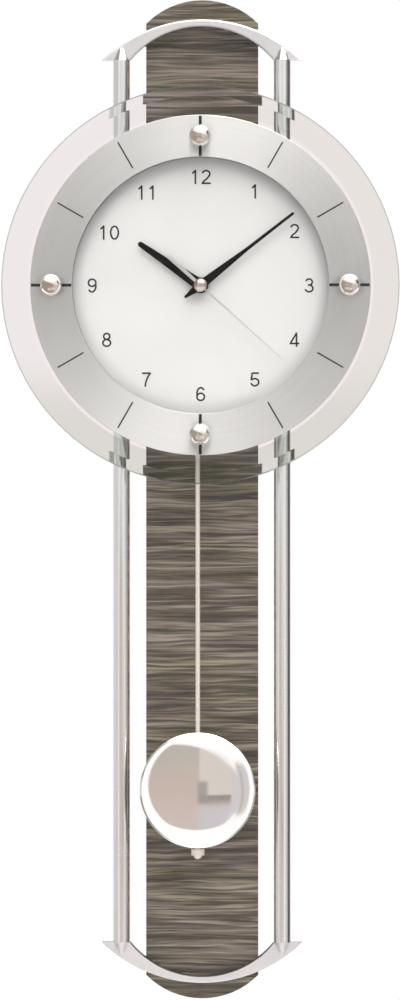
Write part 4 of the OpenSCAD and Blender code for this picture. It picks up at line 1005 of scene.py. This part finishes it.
six = [bend(0.015, 0.50, 0.275, 0.443, 38, 185), bend(0.005, 0.305, 0.262, 0.248, 0, 360)]
digitStrokes = {  # middle lines, for a digit 1 high
    "0": [bend(0, 0.5, 0.265, 0.443, 0, 360)],
    "1": [[(-0.205, 0.745), (-0.12, 0.80), (-0.05, 0.87), (0.0, 0.955)], [(0.022, 1.0), (0.022, 0.0)]],
    "2": [bend(-0.005, 0.715, 0.255, 0.228, 172, -38)
          + [(0.07, 0.40), (-0.13, 0.235), (-0.235, 0.115), (-0.262, 0.06)],
          [(-0.32, 0.06), (0.315, 0.06)]],
    "3": [bend(-0.01, 0.735, 0.225, 0.208, 168, -90), [(-0.1, 0.527), (0.0, 0.527)],
          bend(-0.01, 0.29, 0.268, 0.235, 90, -168)],
    "4": [[(0.12, 0.99), (0.10, 0.90), (-0.30, 0.25)], [(-0.345, 0.235), (0.33, 0.235)],
          [(0.132, 1.0), (0.132, 0.0)]],
    "5": [[(-0.20, 0.94), (0.28, 0.94)], [(-0.178, 0.97), (-0.262, 0.45)],
          bend(-0.005, 0.31, 0.27, 0.25, 146, -166)],
    "6": six,
    "7": [[(-0.31, 0.94), (0.315, 0.94)],
          [(0.27, 0.93), (0.13, 0.73), (0.02, 0.49), (-0.055, 0.25), (-0.085, 0.0)]],
    "8": [bend(0, 0.738, 0.212, 0.206, 0, 360), bend(0, 0.288, 0.268, 0.232, 0, 360)],
    "9": [[(-x, 1 - y) for x, y in line] for line in six],
}


def makeNumerals():
    # a flat nib swept along each stroke
    nib = bpy.data.curves.new("nib", "CURVE")
    nib.dimensions = "2D"
    corner = nib.splines.new("POLY")
    corner.points.add(3)
    corner.use_cyclic_u = True
    wide, thin = numerals["line"] / 2, numerals["rise"] / numerals["height"] / 2
    for point, (u, v) in zip(corner.points, [(-wide, -thin), (wide, -thin), (wide, thin), (-wide, thin)]):
        point.co = (u, v, 0, 1)
    nibObject = linked("nib", nib)
    form = bmesh.new()
    depth = numerals["front"] + numerals["rise"] / 2 - numerals["sunk"]
    for hour in range(1, 13):
        curve = bpy.data.curves.new("digits", "CURVE")
        curve.dimensions = "3D"
        curve.twist_mode = "Z_UP"
        curve.bevel_mode = "OBJECT"
        curve.bevel_object = nibObject
        curve.use_fill_caps = True
        text = str(hour)
        for place, digit in enumerate(text):
            shift = (place - (len(text) - 1) / 2) * numerals["advance"]
            for line in digitStrokes[digit]:
                closed = (Vector(line[0]) - Vector(line[-1])).length < 1e-6
                points = line[:-1] if closed else line
                stroke = curve.splines.new("POLY")
                stroke.points.add(len(points) - 1)
                stroke.use_cyclic_u = closed
                for point, (u, v) in zip(stroke.points, points):
                    point.co = (u + shift, v - 0.5, 0, 1)
        strokes = linked("digits", curve)
        bpy.context.view_layer.update()
        depsgraph = bpy.context.evaluated_depsgraph_get()
        drawn = bpy.data.meshes.new_from_object(strokes.evaluated_get(depsgraph))
        first = len(form.verts)
        form.from_mesh(drawn)
        form.verts.ensure_lookup_table()
        angle = hour * tau / 12
        reach = (numerals["radius"] - numerals["inwards"].get(hour, 0)) * mm
        spot = Vector((dialAt[0] + reach * sin(angle), -depth * mm, dialAt[1] + reach * cos(angle)))
        place = Matrix.Translation(spot) @ Matrix.Rotation(pi / 2, 4, "X")
        place = place @ Matrix.Scale(numerals["height"] * mm, 4)
        bmesh.ops.transform(form, matrix=place, verts=form.verts[first:])
        bpy.data.objects.remove(strokes)
        bpy.data.meshes.remove(drawn)
    bpy.data.objects.remove(nibObject)
    closeUp(form, 1e-6)
    keep(form, "numerals", "hand_black", "root", material=ink)


makeNumerals()
finished("dial_housing", 0.0003, name="dialDish")
finished("glass_cover", 0.0004, segments=3, angle=10.0, name="bevelledGlass")
print("dial done")

# knobs, cap and bob, turned

knob = {
    "radius": 7.6, "height": 7.6, "base": 0.8, "shank": 2.0, "back": 56.0, "front": 68.0, "out": 103.5,
    "ease": 0.15, "point": 0.3,
}


def makeKnobs():
    form = bmesh.new()
    radius, front, back, shank = knob["radius"], knob["front"], knob["back"], knob["shank"]
    rise, ease, point = knob["height"] - knob["base"], knob["ease"], knob["point"]
    sphere = (radius ** 2 + rise ** 2) / (2 * rise)
    outline = arc(front + knob["height"] - sphere, sphere, 0.0, radius, 22)
    outline += [(radius, front + ease), (radius - ease, front), (shank, front),
                (shank, back + point), (shank - point, back), (0.0, back)]
    out = knob["out"] * mm
    for quarter in range(4):
        angle = quarter * pi / 2
        turnedForm(form, outline, 64, (dialAt[0] + out * sin(angle), dialAt[1] + out * cos(angle)))
    closeUp(form)
    keep(form, "domeKnobs", "knob_chrome", "root", ["dome_knobs"], warmChrome, 40.0)


makeKnobs()
finished("knob_nuts", 0.0003)

cap = {"radius": 4.65, "height": 2.0, "back": 59.4, "bore": 0.7, "boreDepth": 1.0}


def makeCap():
    form = bmesh.new()
    radius, height, back = cap["radius"], cap["height"], cap["back"]
    sphere = (radius ** 2 + height ** 2) / (2 * height)
    outline = arc(back + height - sphere, sphere, 0.0, radius - 0.08, 18)
    outline += [(radius, back + 0.12), (radius - 0.1, back), (cap["bore"], back),
                (cap["bore"], back + cap["boreDepth"]), (0.0, back + cap["boreDepth"])]
    turnedForm(form, outline, 64, dialAt)
    closeUp(form)
    keep(form, "handCap", "knob_chrome", bodyOf("hand_cap"), ["hand_cap"], capMetal, 40.0)


makeCap()

bob = {
    "radius": 40.4, "rise": 7.0, "domeBack": 41.0, "rimBack": 38.0, "rimEase": 0.1, "sheet": 0.8,
    "at": (-0.0025, -0.4815),
}


def makeBob():
    form = bmesh.new()
    radius, rise, wall = bob["radius"], bob["rise"], bob["sheet"]
    sphere = (radius ** 2 + rise ** 2) / (2 * rise)
    middle = bob["domeBack"] + rise - sphere
    outline = arc(middle, sphere, 0.0, radius - 0.45, 36)
    last = outline[-1]
    back, ease = bob["rimBack"], bob["rimEase"]
    outline += [(radius - 0.12, last[1] - 0.22), (radius, last[1] - 0.6), (radius, back + ease),
                (radius - ease, back), (radius - wall + ease, back), (radius - wall, back + ease)]
    outline += arc(middle, sphere - wall, 0.0, radius - wall, 30)[::-1]
    turnedForm(form, outline, 160, bob["at"])
    closeUp(form)
    keep(form, "bobDome", "knob_chrome", "bob", ["bob_dome"], sharp=50.0)


makeBob()
finished("bob_back", 0.0002)
finished("bob_slider", 0.0004)
finished("rating_nut", 0.0002, material=paleSatin)
print("turned pieces done")

# hands and movement

blade = {"from": 0.010, "to": 0.070, "drawnIn": 0.36}  # along the minute hand in metres, and by what share


def slimBlade(form):  # the blade's middle drawn in towards its own line
    places = [Vector((v.co.x - dialAt[0], 0, v.co.z - dialAt[1])) for v in form.verts]
    reach = max(p.length for p in places)
    line = sum((p for p in places if p.length > reach - 0.003), Vector()).normalized()
    for v, place in zip(form.verts, places):
        out = place.dot(line)
        if blade["from"] < out < blade["to"]:
            v.co -= (place - line * out) * blade["drawnIn"]


finished("hour_hand", 0.00018)
finished("minute_hand", 0.00018, shape=slimBlade)
finished("second_hand", 0.0001)
for node, width in {
        "movement_case": 0.0004, "movement_cover": 0.0003, "movement_screws": 0.00025, "set_button": 0.0002,
        "reset_button": 0.0002, "dial_pillars": 0.0004, "centre_nut": 0.0002}.items():
    finished(node, width)
print("hands and movement done")
